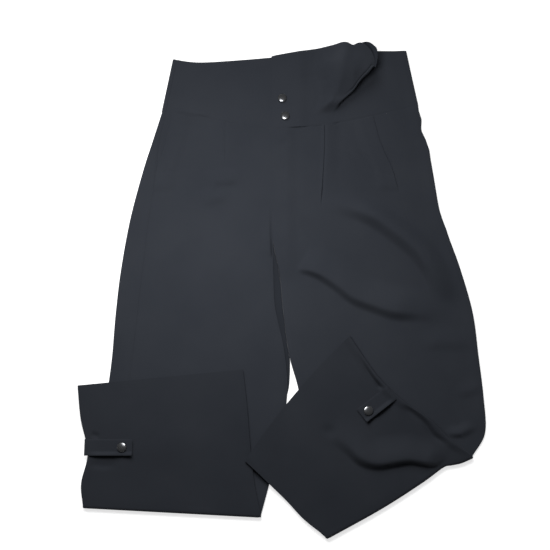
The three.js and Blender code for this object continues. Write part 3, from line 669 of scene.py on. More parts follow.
def pleat_centre(leg, edge, across, width, position):
    """Distance in from the mouth at which each row meets the pleat, or a fixed share below it"""
    path = PLEATS[leg["side"]]["path"]
    line = line_of(path, np.linspace(0, len(path) - 1, 60))[::-1]
    distance = width / 2
    for _ in range(4):
        y = edge[:, 1] + across[:, 1] * distance
        distance = (np.interp(y, line[:, 1], line[:, 0]) - edge[:, 0]) / across[:, 0]
    share = np.clip(distance / width, 0.2, 0.8)
    return width * mix(share, 0.55, smooth(2, 4, position))


def front_leg(leg, sizes):
    """A front panel, from its pocket mouth and side seam to the inner seam, and on inside the turn-up"""
    step = sizes.point_spacing / MM
    left = leg["side"] == "left"
    position = positions(leg, "seam", "inner", step)
    edge = front_edge(leg, position)
    end = line_of(leg["inner"], position)
    end[:, 0] += SEAM_OPEN / 2 if left else FLY_LAP * smooth(FLY_GONE, FLY_CLOSED, end[:, 1]) - SEAM_OPEN / 2
    across, width = unit(end - edge)
    inset = np.linalg.norm(edge - outline_edge(leg, position), axis=1)
    gap = leg["seam_open"] / 2
    distance = spaced(width - gap, step, pleat_centre(leg, edge, across, width, position)) + gap
    x = edge[:, :1] + across[:, :1] * distance
    y = waist_fit(x, edge[:, 1:] + across[:, 1:] * distance, position)
    open_mouth = smooth(POCKET["end"] - POCKET["fade"], POCKET["end"], y)
    flat = POCKET["lap"] + POCKET["rest"]
    z = front_level(leg, x, y, inset[:, None] + distance)
    z += LAYER * open_mouth * smooth(flat + POCKET["slope"], flat, distance)
    mouth_sink = leg["mouth_sink"] * smooth(*MOUTH_LINE, y)
    z -= mix(sunk(distance, leg["seam_sink"]), sunk(distance, mouth_sink), open_mouth)
    z -= sunk(height_at(WAIST_SEAM, x) - y, waist_sink(x))
    moved, raised = pleat_relief(leg, x, y)
    x = x + moved
    z += raised
    from_inner = width[:, None] - distance
    closed = smooth(FLY_CLOSED, FLY_GONE, y)
    z -= closed * INSEAM_DROP * smooth(INSEAM_REACH, 0, from_inner)
    upper = stack(x, y, z)
    grid = [upper]
    start, line_across, line_width, outward = turn_up(leg)
    across_last = distance[-1] - distance[-1, 0]
    spread = inset[-1] + gap + across_last
    level = LAYER / 2 - INSEAM_DROP * smooth(INSEAM_REACH, 0, line_width - spread)
    for turn in np.linspace(0, math.pi, TURN_UP_STEPS + 1)[1:]:
        reach = TURN_UP_RADIUS - level
        plan = start + line_across * spread[:, None] + outward * (reach * math.sin(turn))[:, None]
        grid.append(stack(plan[:, 0], plan[:, 1], TUBE_LEVEL + TURN_UP_RADIUS - reach * math.cos(turn))[None])
    flap_position = positions(leg, "flap_outline", "flap_inner", 4 * step, False)[1:]
    wide = flap_width(leg, flap_position)[:, None]
    flap_distance = mix(spread[0] + HIDDEN_GAP, wide, across_last / across_last[-1])
    x, y = flap_places(leg, flap_position, flap_distance)
    drop = INSEAM_DROP * smooth(INSEAM_REACH, 0, wide - flap_distance)
    grid.append(stack(x, y, flap_level(leg, x, y) - LAYER / 2 + drop))
    grid = dented(leg, np.concatenate(grid))
    upright = np.zeros(grid.shape[:2], bool)
    upright[: len(upper)] = True
    return cloth_mesh(f"front_leg_{leg['side']}_cloth", grid, sizes, upright)


def back_section(strip, width, front_roll, back_roll, step):
    """Section of a back panel for each row: distance in from the outline, level from the tube's middle,
    share of the way to the seam, and share of the way round to the flat side"""
    strip, width, front_roll, back_roll = (
        np.broadcast_to(np.atleast_1d(value), np.shape(np.atleast_1d(width)))[:, None]
        for value in (strip, width, front_roll, back_roll))
    radius = (LAYER + front_roll + back_roll) / 2
    middle = (front_roll - back_roll) / 2
    turn = side_turn(front_roll + back_roll)
    fine = FINE * np.clip((strip - turn) / 9, 0, 1)
    along = np.linspace(0, 1, 8)[1:]
    top = np.hstack([strip - fine, mix(strip - fine[:, -1:], turn, along)])
    top_level = LAYER / 2 + front_roll * roll_shape(top, front_roll, SIDE_ROLL_WIDTH)
    seam_share = (top - turn) / np.maximum(strip - turn, 1e-6)
    angle = np.linspace(0, math.pi, SIDE_TURN_STEPS + 1)[1:-1]
    round_side = turn - radius * np.sin(angle)
    round_level = middle + radius * np.cos(angle)
    under = turn + spaced((width - turn)[:, 0], step)
    under_level = -LAYER / 2 - back_roll * roll_shape(under, back_roll, FLAP_ROLL_WIDTH)
    under_level = under_level + INSEAM_DROP * smooth(INSEAM_REACH, 0, width - under)
    turned = np.concatenate([np.zeros(top.shape[1]), np.linspace(0, 1, len(angle) + 2)[1:-1],
                             np.ones(under.shape[1])])
    none = np.zeros_like(np.hstack([round_side, under]))
    return (np.hstack([top, round_side, under]), np.hstack([top_level, round_level, under_level]),
            np.hstack([seam_share, none]), turned)


def back_leg(leg, sizes):
    """A back panel: round the outer side, down the back, round the turn-up and out to the hem"""
    step = sizes.point_spacing / MM
    position = positions(leg, "outline", "inner", 2 * step)
    edge = outline_edge(leg, position)
    end = back_inner_edge(leg, position)
    end[:, 0] += leg["outward"] * SEAM_OPEN / 2
    across, width = unit(end - edge)
    seam = line_of(leg["seam"], position)
    gap = leg["seam_open"] / 2
    strip = np.linalg.norm(seam - edge, axis=1) - gap
    drift = seam - edge - across * (strip + gap)[:, None]
    roll = side_roll(leg, edge[:, 0], edge[:, 1])
    line_start, line_across, line_width, outward = turn_up(leg)
    flap_widths = np.linalg.norm(np.subtract(leg["flap_inner"], leg["flap_outline"]), axis=1)
    widest = max(width.max(), flap_widths.max())
    columns_step = step * width.max() / widest
    distance, level, seam_share, turned = back_section(strip, width, roll, 0.0, columns_step)
    x = edge[:, :1] + across[:, :1] * distance + drift[:, :1] * seam_share
    y = edge[:, 1:] + across[:, 1:] * distance + drift[:, 1:] * seam_share
    y = waist_fit(x, y, position)
    z = TUBE_LEVEL + level
    on_top = turned == 0
    z[:, on_top] += front_folds(leg, x[:, on_top], y[:, on_top], distance[:, on_top])
    z[:, on_top] -= sunk(strip[:, None] - distance[:, on_top], leg["seam_sink"])
    z[:, on_top] -= sunk(height_at(WAIST_SEAM, x[:, on_top]) - y[:, on_top], WAIST_SINK)
    grid = [stack(x, y, z)]
    hidden_strip = np.linalg.norm(seam[-1] - line_start) - gap
    count = distance.shape[1]
    around, level, _, _ = back_section(hidden_strip, line_width, 0.0, 0.0, columns_step)
    around, level = resample(around[0], level[0], turned, count)
    for angle in np.linspace(0, math.pi, TURN_UP_STEPS + 1)[1:]:
        reach = TURN_UP_RADIUS - level
        plan = line_start + line_across * around[:, None] + outward * (reach * math.sin(angle))[:, None]
        z = TUBE_LEVEL + TURN_UP_RADIUS - reach * math.cos(angle)
        grid.append(stack(plan[:, 0], plan[:, 1], z)[None])
    flap_position = positions(leg, "flap_outline", "flap_inner", step, False)[1:]
    flap_roll = leg["flap_roll"] * smooth(0, 1, flap_position)
    wide = flap_width(leg, flap_position)
    distance, level, _, _ = back_section(hidden_strip, wide, 0.0, flap_roll, columns_step)
    distance, level = resample(distance, level, turned, count)
    x, y = flap_places(leg, flap_position, distance)
    showing = smooth(0, 1, turned)
    z = flap_level(leg, x, y) - level + showing * (flap_loose(leg, x, y) + flap_folds(leg, x, y, distance))
    grid.append(stack(x, y, z))
    grid = dented(leg, np.concatenate(grid))
    upright = np.zeros(grid.shape[:2], bool)
    upright[: len(position), : int(on_top.sum())] = seam_share[:, : int(on_top.sum())] > 0
    turned_from = len(position) + TURN_UP_STEPS // 2
    return cloth_mesh(f"back_leg_{leg['side']}_cloth", grid, sizes, upright, turned_from=turned_from)


def resample(distance, level, turned, count):
    """The same number of columns in each stretch of a section, by even picking from the flat stretch"""
    flat = int((turned == 1).sum())
    fixed = count - flat
    have = distance.shape[-1] - fixed
    pick = np.linspace(0, have - 1, flat)
    low = np.floor(pick).astype(int)
    high = np.minimum(low + 1, have - 1)
    part = pick - low

    def picked(values):
        tail = values[..., fixed:]
        return np.concatenate([values[..., :fixed], mix(tail[..., low], tail[..., high], part)], axis=-1)

    return picked(distance), picked(level)


def pocket_side(leg, sizes):
    """The piece that shows in a pocket mouth, from the side seam to under the front"""
    step = sizes.point_spacing / MM
    position = positions(leg, "seam", "inner", step)
    position = position[position <= POCKET["station"]]
    edge = line_of(leg["seam"], position)
    across, opened = unit(line_of(leg["mouth"], position) - edge)
    inset = np.linalg.norm(edge - outline_edge(leg, position), axis=1)
    distance = mix(leg["seam_open"] / 2, (opened + POCKET["lap"])[:, None], np.linspace(0, 1, 16) ** 1.3)
    x = edge[:, :1] + across[:, :1] * distance
    y = waist_fit(x, edge[:, 1:] + across[:, 1:] * distance, position)
    z = front_level(leg, x, y, inset[:, None] + distance)
    z -= sunk(distance, leg["seam_sink"]) + sunk(height_at(WAIST_SEAM, x) - y, WAIST_SINK)
    grid = stack(x, y, z)
    return cloth_mesh(f"pocket_side_{leg['side']}_cloth", grid, sizes, np.ones(grid.shape[:2], bool))


def band_shares(step):
    """Shares up the waistband, closer together at the seam and at the top edge"""
    return spaced(BAND_TALL, step)[0] / BAND_TALL


def band_points(x, share, level, top=None):
    """Points of a band at shares of its height; cloth that lies on the legs is sunk at the waist seam and
    rounded at the top edge"""
    bottom = height_at(WAIST_SEAM, x) + SEAM_OPEN / 2
    top = height_at(WAIST_TOP, x) if top is None else top
    y = mix(bottom, top, share)
    on_legs = smooth(BACK_LEVEL, FRONT_LEVEL, level)
    z = level - on_legs * (sunk(y - bottom, waist_sink(x)) + BAND_TOP_DROP * smooth(2.5, 0, top - y))
    return stack(x, y, z)


def band_relief(x, y):
    return folds_height(CREASES, x, y) + ripple(x, y)


def band_side(end, inward, strip, steps):
    """One side of the back band, from its strip on top of the front to where it lies flat"""
    radius = (LAYER + BAND_ROLL) / 2
    turn = radius + WALL / 2
    distance = mix(strip, turn, np.linspace(0, 1, steps) ** 1.2)
    top_level = FRONT_LEVEL + BAND_ROLL * smooth(turn + SIDE_ROLL_WIDTH, turn, distance)
    angle = np.linspace(0, math.pi, SIDE_TURN_STEPS + 1)[1:]
    places = np.concatenate([distance, turn - radius * np.sin(angle)])
    levels = np.concatenate([top_level, BACK_LEVEL + radius + radius * np.cos(angle)])
    return end + inward * places, levels


def waistband_back(sizes):
    """The back band, which turns up round both sides to the front bands' side seams"""
    step = sizes.point_spacing / MM
    rows = []
    for share in band_shares(step):
        left_end = mix(*BAND_END_LEFT, share)
        seam = mix(*BAND_SEAM_LEFT, share) + BAND_SIDE_OPEN / 2
        right_x, right_level = band_side(mix(*BAND_END_RIGHT, share), 1, BAND_STRIP_RIGHT, 8)
        left_x, left_level = band_side(left_end, -1, left_end - seam, 18)
        flat_x = np.linspace(right_x[-1], left_x[-1], 60)[1:-1]
        x = np.concatenate([right_x, flat_x, left_x[::-1]])
        level = np.concatenate([right_level, np.full(len(flat_x), BACK_LEVEL), left_level[::-1]])
        rising = smooth(0, 1, np.linspace(0, 1, len(left_x)))
        on_left = np.concatenate([np.zeros(len(right_x) + len(flat_x)), rising])
        points = band_points(x, share, level)
        points[:, 2] += on_left * (band_relief(points[:, 0], points[:, 1]) - sunk(x - seam, BAND_SIDE_SINK))
        points[: len(right_x), 2] -= sunk(x[0] - x[: len(right_x)], sizes.seam_depth / MM) * 0.5
        rows.append(points)
    return cloth_mesh("waistband_back_cloth", np.array(rows), sizes)


def waistband_front_right(sizes):
    """The right front band, which lies flat and runs on under the left one"""
    step = sizes.point_spacing / MM
    shares = band_shares(step)[:, None]
    end = mix(*BAND_END_RIGHT, shares)
    start = end + BAND_STRIP_RIGHT + SEAM_OPEN
    to = OPENING_EDGE + BAND_LAP
    distance = spaced((to - start)[:, 0], step)
    x = start + distance
    level = FRONT_LEVEL + BAND_ROLL * smooth(SIDE_ROLL_WIDTH, 0, x - end)
    points = band_points(x, shares, level)
    calm = smooth(OPENING_EDGE, OPENING_EDGE - 12, x)
    points[..., 2] += calm * band_relief(points[..., 0], points[..., 1])
    points[..., 2] -= sunk(distance, sizes.seam_depth / MM)
    return cloth_mesh("waistband_front_right_cloth", points, sizes, np.ones(points.shape[:2], bool))


def slack_section(share, step):
    """Section of the left front band at one height, by columns: place, level, share of the way over to the
    fold's far side, share of the way down to the layer below, and distance in from the crease"""
    amount = smooth(SLACK["apex"], SLACK["full_by"], share)
    turned = smooth(SLACK["apex"], SLACK["apex"] + SLACK["turned_by"], share)
    turn = math.radians(mix(SLACK["first_turn"], SLACK["full_turn"], turned))
    radius = mix(*SLACK["arc"], amount) / turn
    back = mix(*SLACK["back"], amount)
    height = 2 * radius * (1 - math.cos(turn)) + back * math.sin(turn)
    crease = height_at(CREASE, share)
    start = crease - radius * (1 if turn > math.pi / 2 else math.sin(turn))
    first = OPENING_EDGE + SEAM_OPEN / 2
    end = mix(*BAND_SEAM_LEFT, share) - BAND_SIDE_OPEN / 2
    count = round((CREASE[-1][1] - first) / step)
    reach = start - first
    middle = mix(FINE[-1], reach - FINE[-1], np.linspace(0, 1, count)[1:-1])
    rise_x = first + np.concatenate([FINE, middle, reach - FINE[::-1]])
    slope_to = mix(*SLACK["slope_to"], amount)
    risen = smooth(start - mix(*SLACK["slope_from"], amount), start - slope_to, rise_x)
    hump = risen * (start - rise_x) / slope_to
    rise = height * risen + SLACK["droop"] * amount * hump * smooth(start - 70, start - 45, rise_x)
    part = np.linspace(0, 1, 17)[1:]
    over_x = start + radius * np.sin(turn * part)
    over_level = height - radius * (1 - np.cos(turn * part))
    behind = np.linspace(0, 1, 9)[1:]
    behind_x = over_x[-1] + back * behind * math.cos(turn)
    behind_level = over_level[-1] - back * behind * math.sin(turn)
    angle = turn * (1 - part)
    under_x = behind_x[-1] + radius * (math.sin(turn) - np.sin(angle))
    under_level = behind_level[-1] - radius * (np.cos(angle) - math.cos(turn))
    flat = np.linspace(0, 1, 24)[1:]
    flat_x = mix(under_x[-1], end, flat)
    x = np.concatenate([rise_x, over_x, behind_x, under_x, flat_x])
    rise += lap_lift(rise_x, BAND_LAP)
    level = np.concatenate([rise, over_level, behind_level, under_level, 0 * flat])
    over = np.concatenate([0 * rise_x, 0.5 * part, 0.5 + 0.5 * behind, 1 - part, 0 * flat])
    under = np.concatenate([0 * rise_x, 0 * part, 0 * behind, part, np.ones(len(flat))])
    turning = np.where(turn * part < math.pi / 2, crease - over_x, 0)
    inward = np.concatenate([crease - rise_x, turning, 99 + 0 * behind, 99 + 0 * part, 99 + 0 * flat])
    return x, level, over, under, inward


def crease_lean(share):
    """How much nearer the crease is than it is measured level, where it runs slantwise"""
    near = 0.03
    moved = height_at(CREASE, share + near) - height_at(CREASE, share - near)
    slope = moved / (2 * near * BAND_TALL_AT_CREASE)
    return 1 / math.hypot(1, slope)


def rim_relief(inward):
    """Narrow raised rim along an edge, with a fine groove inside it"""
    groove = RIM["depth"] * np.exp(-((inward - RIM["inset"]) / RIM["width"]) ** 2)
    return RIM["bulge"] * smooth(RIM["inset"], 0.5, inward) - groove


def waistband_front_left(sizes):
    """The left front band, slack, with its big fold laid over from the side to the front"""
    step = sizes.point_spacing / MM
    rows = []
    for share in band_shares(step * 0.8):
        x, level, over, under, inward = slack_section(share, step)
        far = smooth(0, 0.5, over) * smooth(SLACK["far_from"], 1, share)
        top = mix(height_at(SLACK_TOP, x), height_at(FAR_TOP, x), far)
        top = mix(top, height_at(WAIST_TOP, x), under)
        points = band_points(x, share, FRONT_LEVEL + level, top)
        near = over + under == 0
        relief = np.where(near, smooth(0, 14, inward), smooth(0.5, 1, under))
        points[:, 2] += relief * band_relief(points[:, 0], points[:, 1])
        leaf = smooth(70, 110, x) * (1 - under) * (1 - smooth(0, 0.5, over))
        points[:, 2] -= SLACK["top_droop"] * leaf * smooth(48, 0, top - points[:, 1])
        rim = rim_relief(inward * crease_lean(share)) * smooth(RIM["from"], RIM["full_by"], share)
        points[:, 2] += np.where(inward < 60, rim, 0)
        points[:, 2] -= sunk(BAND_SEAM_LEFT[0] - x, BAND_SIDE_SINK) * (under == 1)
        rows.append(points)
    return cloth_mesh("waistband_front_left_cloth", np.array(rows), sizes)


def flap_distance(leg, x, y):
    """Distance in plan from the turned-up leg's outer edge"""
    line = line_of(leg["flap_outline"], np.linspace(0, len(leg["flap_outline"]) - 1, 61))
    return np.hypot(x[..., None] - line[:, 0], y[..., None] - line[:, 1]).min(axis=-1)


def hem_tab(leg, sizes):
    """A strip that comes out of the outseam, lies on the turned-up leg and is snapped down"""
    tab = TABS[leg["side"]]
    turn = math.radians(tab["turn"])
    along = mix(-1.5, tab["length"], np.linspace(0, 1, 46))[:, None]
    aside = (np.concatenate([FINE[:4], np.linspace(FINE[3], tab["width"] - FINE[3], 16)[1:-1],
                             tab["width"] - FINE[3::-1]]) - tab["width"] / 2)[None]
    x = tab["root"][0] + along * math.cos(turn) - aside * math.sin(turn)
    y = tab["root"][1] + along * math.sin(turn) + aside * math.cos(turn)
    seat = flap_top(leg, x, y, np.maximum(flap_distance(leg, x, y), side_turn(leg["flap_roll"])))
    z = seat + WALL / 2 + SOLID_GAP + TAB_WALL / 2
    z = z + tab["lift"] * smooth(0, tab["length"] * TAB_RISE_SHARE, along)
    z = z - TAB_ROOT_DROP * smooth(4, -2, along) ** 2
    edge = np.minimum(tab["width"] / 2 - np.abs(aside), tab["length"] - along)
    z = z - TAB_EDGE_DROP * smooth(2.2, 0, edge)
    loose = smooth(0, tab["length"] * 0.3, along) * (1 - 0.5 * np.exp(-((along - tab["snap"]) / 9) ** 2))
    z = z + TAB_EDGE_LIFT * loose * smooth(6, tab["width"] / 2, aside * tab["raised"])
    # The whole tab is in the darker copy of the cloth, which paints shade on it
    return cloth_mesh(f"tab_{leg['side']}_cloth", stack(x, y, z), sizes, wall=TAB_WALL, turned_from=0)


def turned_mesh(name, profile, centre, steps=64):
    """A round piece from a profile of radius and height, in metres in the frame"""
    angle = np.linspace(0, 2 * math.pi, steps, endpoint=False)
    rings = [np.stack([r * np.cos(angle), r * np.sin(angle), np.full(steps, h)], axis=-1) for r, h in profile]
    points = np.concatenate(rings)
    index = np.arange(len(points)).reshape(len(profile), steps)
    following = np.roll(index, -1, axis=1)
    faces = np.stack([index[:-1], following[:-1], following[1:], index[1:]], axis=-1).reshape(-1, 4).tolist()
    faces += [index[0][::-1].tolist(), index[-1].tolist()]
    mesh = bpy.data.meshes.new(name)
    mesh.from_pydata((points + np.array(centre)).tolist(), [], faces)
    mesh.shade_smooth()
    made = bpy.data.objects.new(name, mesh)
    bpy.context.scene.collection.objects.link(made)
    return made


def snap_profile(radius, height):
    """Radius and height round a snap cap: rolled edge and flattened dome"""
    edge = height * 0.3
    points = [(radius * 0.93, 0), (radius * 0.985, edge * 0.35)]
    for angle in np.linspace(0, 88, 22):
        share = math.radians(angle)
        points.append((radius * math.cos(share) ** 0.9, edge + (height - edge) * math.sin(share)))
    return points


def place_piece(made, node, slot, *materials):
    """Gives a piece its materials, hangs it on the body and hides the CAD node it stands for"""
    for material in materials:
        made.data.materials.append(material)
    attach(made, BODY)
    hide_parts(node)
    return made


def place_cloth(made, node):
    flat, area = CUTS[node]
    place_piece(made, node, "cloth", cloth_material(), inside_and_shade_material(), turned_shade_material())


def node_group(name, inputs, outputs):
    """An empty shader node group with named sockets, and its input and output nodes"""
    group = bpy.data.node_groups.new(name, "ShaderNodeTree")
    for label, default in inputs.items():
        socket = group.interface.new_socket(label, in_out="INPUT", socket_type="NodeSocketFloat")
        socket.default_value = default
    for label in outputs:
        group.interface.new_socket(label, in_out="OUTPUT", socket_type="NodeSocketFloat")
    return group, group.nodes.new("NodeGroupInput").outputs, group.nodes.new("NodeGroupOutput").inputs


def add_node(tree, kind, sockets, **settings):
    """A node whose input sockets are set to constants or linked to other nodes' outputs"""
    made = tree.nodes.new(kind)
    for name, value in settings.items():
        setattr(made, name, value)
    for name, value in sockets.items():
        if isinstance(value, bpy.types.NodeSocket):
            tree.links.new(value, made.inputs[name])
        else:
            made.inputs[name].default_value = value
    return made.outputs


def crepe_weave():
    """Node group: height and tone of a fine crepe weave, from crossing threads and their uneven twist"""
    name = "crepe_weave"
    if name in bpy.data.node_groups:
        return bpy.data.node_groups[name]
    group, given, out = node_group(name, {"Threads": 1500.0, "Twist": 0.5}, ["Height", "Tone"])
    place = add_node(group, "ShaderNodeTexCoord", {})["Object"]
    lumps = add_node(group, "ShaderNodeMath", {0: given["Threads"], 1: 0.45}, operation="MULTIPLY")
    twist = add_node(group, "ShaderNodeTexNoise", {"Scale": lumps[0], "Vector": place, "Detail": 2.0})
    threads = {"Scale": given["Threads"], "Vector": place, "Distortion": 2.5, "Detail": 1.0}
    warp, weft = (
        add_node(group, "ShaderNodeTexWave", threads, wave_type="BANDS", bands_direction=direction)["Fac"]
        for direction in ("X", "Y"))
    crossing = add_node(group, "ShaderNodeMath", {0: warp, 1: weft}, operation="MAXIMUM")
    height = add_node(
        group, "ShaderNodeMix", {0: given["Twist"], 2: crossing[0], 3: twist["Fac"]}, data_type="FLOAT")
    tone = add_node(group, "ShaderNodeTexNoise", {"Vector": place, "Scale": 9.0, "Detail": 4.0})
    group.links.new(height[0], out["Height"])
    group.links.new(tone["Fac"], out["Tone"])
    return group


def soft_crumple():
    """Node group: height of faint shallow wrinkles, smaller than the modelled folds"""
    name = "soft_crumple"
    if name in bpy.data.node_groups:
        return bpy.data.node_groups[name]
    group, given, out = node_group(name, {"Scale": 22.0, "Stretch": 0.35}, ["Height"])
    place = add_node(group, "ShaderNodeTexCoord", {})["Object"]
    stretch = add_node(group, "ShaderNodeCombineXYZ", {"X": 1.0, "Y": given["Stretch"], "Z": 1.0})
    scaled = add_node(group, "ShaderNodeVectorMath", {0: place, 1: stretch[0]}, operation="MULTIPLY")
    noise = add_node(group, "ShaderNodeTexNoise", {
        "Scale": given["Scale"], "Vector": scaled[0], "Detail": 3.0, "Roughness": 0.45, "Distortion": 0.6})
    group.links.new(noise["Fac"], out["Height"])
    return group


def new_material(name):
    material = bpy.data.materials.new(name)
    material.use_nodes = True
    return material, material.node_tree, material.node_tree.nodes["Principled BSDF"]


def woven_material(name, low, high, roughness):
    """Matt woven cloth between two tones"""
    if name in bpy.data.materials:
        return bpy.data.materials[name]
    material, tree, surface = new_material(name)
    weave = add_node(tree, "ShaderNodeGroup", {"Threads": 520.0, "Twist": 0.55}, node_tree=crepe_weave())
    crumple = add_node(tree, "ShaderNodeGroup", {"Scale": 30.0, "Stretch": 0.6}, node_tree=soft_crumple())
    colour = add_node(
        tree, "ShaderNodeMix", {0: weave["Tone"], 6: (*low, 1), 7: (*high, 1)}, data_type="RGBA")
    rough = add_node(tree, "ShaderNodeMapRange", {
        "Value": weave["Height"], "To Min": roughness - 0.06, "To Max": roughness + 0.06})
    wrinkle = add_node(tree, "ShaderNodeBump", {
        "Height": crumple["Height"], "Strength": 0.35, "Distance": 0.0012})
    bump = add_node(tree, "ShaderNodeBump", {
        "Height": weave["Height"], "Normal": wrinkle["Normal"], "Strength": 0.3, "Distance": 0.00015})
    tree.links.new(colour[2], surface.inputs["Base Color"])
    tree.links.new(rough["Result"], surface.inputs["Roughness"])
    tree.links.new(bump["Normal"], surface.inputs["Normal"])
    surface.inputs["Specular IOR Level"].default_value = 0.15
    return material


def cloth_material():
    colours = bpy.context.scene.trousers_colours
    return woven_material("charcoal_crepe", colours.cloth_low, colours.cloth_high, 0.84)


# Material of the cloth's inner side; its darker tone is partly painted shade where the inner side shows, as
# between the legs
def inside_and_shade_material():
    colours = bpy.context.scene.trousers_colours
    return woven_material("charcoal_crepe_inside", colours.inside, colours.cloth_low, 0.9)


def turned_shade_material():
    """The same cloth where it is turned up and on the tabs, as a darker copy that paints shade on them"""
    colours = bpy.context.scene.trousers_colours
    low, high = (np.multiply(tone, colours.turned_shade_share) for tone in (colours.cloth_low, colours.cloth_high))
    return woven_material("charcoal_crepe_turned", low, high, 0.84)


def metal_material():
    """Polished plated metal with faint handling marks"""
    name = "polished_cap"
    if name in bpy.data.materials:
        return bpy.data.materials[name]
    colours = bpy.context.scene.trousers_colours
    material, tree, surface = new_material(name)
    place = add_node(tree, "ShaderNodeTexCoord", {})["Object"]
    marks = add_node(tree, "ShaderNodeTexNoise", {"Vector": place, "Scale": 900.0, "Detail": 3.0})
    rough = add_node(tree, "ShaderNodeMapRange", {"Value": marks["Fac"], "To Min": 0.2, "To Max": 0.32})
    tree.links.new(rough["Result"], surface.inputs["Roughness"])
    surface.inputs["Base Color"].default_value = (*colours.metal, 1)
    surface.inputs["Metallic"].default_value = 1.0
    return material


class TrousersSizes(bpy.types.PropertyGroup):
    """Sizes of the cloth, seams and view"""

    cloth_thickness: FloatProperty(
        name="Cloth thickness", description="Thickness of one layer of cloth", default=0.001, unit="LENGTH")
    point_spacing: FloatProperty(
        name="Point spacing", description="Distance between the mesh points of the cloth", default=0.0028,
        unit="LENGTH")
    seam_depth: FloatProperty(
        name="Seam depth", description="How far the cloth sinks at a seam", default=0.0006, unit="LENGTH")
    camera_distance: FloatProperty(
        name="Camera distance", description="From the camera to the middle of the garment", default=1.5,
        unit="LENGTH")
    camera_tilt: FloatProperty(
        name="Camera tilt", description="How far the camera leans from straight above, towards the hems",
        default=math.radians(12), subtype="ANGLE")
    view_width: FloatProperty(
        name="View width", description="Width of the picture at the camera's distance", default=0.88,
        unit="LENGTH")


class TrousersColours(bpy.types.PropertyGroup):
    """Colours of the cloth, metal and floor"""

    cloth_low: FloatVectorProperty(
        name="Cloth, dark tone", description="Darker tone of the charcoal cloth", subtype="COLOR",
        default=(0.026, 0.030, 0.039))
    cloth_high: FloatVectorProperty(
        name="Cloth, light tone", description="Lighter tone of the charcoal cloth", subtype="COLOR",
        default=(0.040, 0.0445, 0.054))
    # The inner side's tone is partly the cloth's own and partly painted shade, darker where it shows between the
    # legs
    inside: FloatVectorProperty(
        name="Cloth inside", description="Tone of the cloth's inner side", default=(0.021, 0.0235, 0.0285),
        subtype="COLOR")
    # Darker share of the cloth's tones for the turned-up legs and tabs: painted shade
    turned_shade_share: FloatProperty(
        name="Turned-up tone", description="Tone of the turned-up cloth as a share of the cloth's tone",
        default=0.86, min=0, max=1, subtype="FACTOR")
    metal: FloatVectorProperty(
        name="Metal", description="Colour of the snap caps", default=(0.36, 0.37, 0.39), subtype="COLOR")
    floor: FloatVectorProperty(
        name="Floor", description="Colour of the floor", default=(0.9, 0.9, 0.9), subtype="COLOR")


class TROUSERS_OT_back_legs(bpy.types.Operator):
    """Makes both back legs, from the side seam round to the hem"""

    bl_idname = "trousers.back_legs"
    bl_label = "Back legs"

    def execute(self, context):
        for side, leg in LEGS.items():
            place_cloth(back_leg(leg, context.scene.trousers_sizes), f"back_leg_{side}")
        return {"FINISHED"}


class TROUSERS_OT_front_legs(bpy.types.Operator):
    """Makes both front legs with their pleats and folds"""

    bl_idname = "trousers.front_legs"
    bl_label = "Front legs"

    def execute(self, context):
        for side, leg in LEGS.items():
            made = front_leg(leg, context.scene.trousers_sizes)
            place_cloth(made, f"front_leg_{side}")
        return {"FINISHED"}


class TROUSERS_OT_pocket_sides(bpy.types.Operator):
    """Makes the pieces that show in the pocket mouths"""

    bl_idname = "trousers.pocket_sides"
    bl_label = "Pocket sides"

    def execute(self, context):
        for side, leg in LEGS.items():
            made = pocket_side(leg, context.scene.trousers_sizes)
            place_cloth(made, f"pocket_side_{side}")
        return {"FINISHED"}


class TROUSERS_OT_waistband(bpy.types.Operator):
    """Makes the back band and both front bands, the left one slack with its big fold"""

    bl_idname = "trousers.waistband"
    bl_label = "Waistband"

    def execute(self, context):
        sizes = context.scene.trousers_sizes
        place_cloth(waistband_back(sizes), "waistband_back")
        place_cloth(waistband_front_right(sizes), "waistband_front_right")
        place_cloth(waistband_front_left(sizes), "waistband_front_left")
        return {"FINISHED"}


class TROUSERS_OT_hem_tabs(bpy.types.Operator):
    """Makes the tabs that are snapped down on the turned-up legs"""

    bl_idname = "trousers.hem_tabs"
    bl_label = "Hem tabs"

    def execute(self, context):
        for side, leg in LEGS.items():
            made = hem_tab(leg, context.scene.trousers_sizes)
            place_cloth(made, f"tab_{side}")
        return {"FINISHED"}


class TROUSERS_OT_snap_caps(bpy.types.Operator):
    """Makes the domed snap caps on the waistband and the tabs"""

    bl_idname = "trousers.snap_caps"
    bl_label = "Snap caps"

    def execute(self, context):
        for node in ("snap_cap_upper", "snap_cap_lower", "snap_cap_tab_right", "snap_cap_tab_left"):
            low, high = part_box(node)
            middle = (low + high) / 2
            profile = snap_profile((high.x - low.x) / 2, high.z - low.z)
            made = turned_mesh(f"{node}_metal", profile, (middle.x, middle.y, low.z))
            place_piece(made, node, "metal", metal_material())
        return {"FINISHED"}


def floor_material():
    colours = bpy.context.scene.trousers_colours
    material, tree, surface = new_material("pale_floor")
    place = add_node(tree, "ShaderNodeTexCoord", {})["Object"]
    grain = add_node(tree, "ShaderNodeTexNoise", {"Vector": place, "Scale": 60.0})
    rough = add_node(tree, "ShaderNodeMapRange", {"Value": grain["Fac"], "To Min": 0.7, "To Max": 0.8})
    tree.links.new(rough["Result"], surface.inputs["Roughness"])
    surface.inputs["Base Color"].default_value = (*colours.floor, 1)
    surface.inputs["Specular IOR Level"].default_value = 0.1
    surface.inputs["Emission Color"].default_value = (1, 1, 1, 1)
    surface.inputs["Emission Strength"].default_value = 0.69
    return material


def add_light(data, place, aim):
    light = bpy.data.objects.new(data.name, data)
    light.location = place
    light.rotation_euler = rotation_along(aim)
    bpy.context.scene.collection.objects.link(light)
    return light


def near_light():
    """Soft light above the right leg"""
    data = bpy.data.lights.new("near_light", "AREA")
    data.shape = "RECTANGLE"
    data.size, data.size_y = NEAR_LIGHT["size"]
    data.energy = NEAR_LIGHT["power"]
    return add_light(data, NEAR_LIGHT["place"], np.subtract(NEAR_LIGHT["target"], NEAR_LIGHT["place"]))


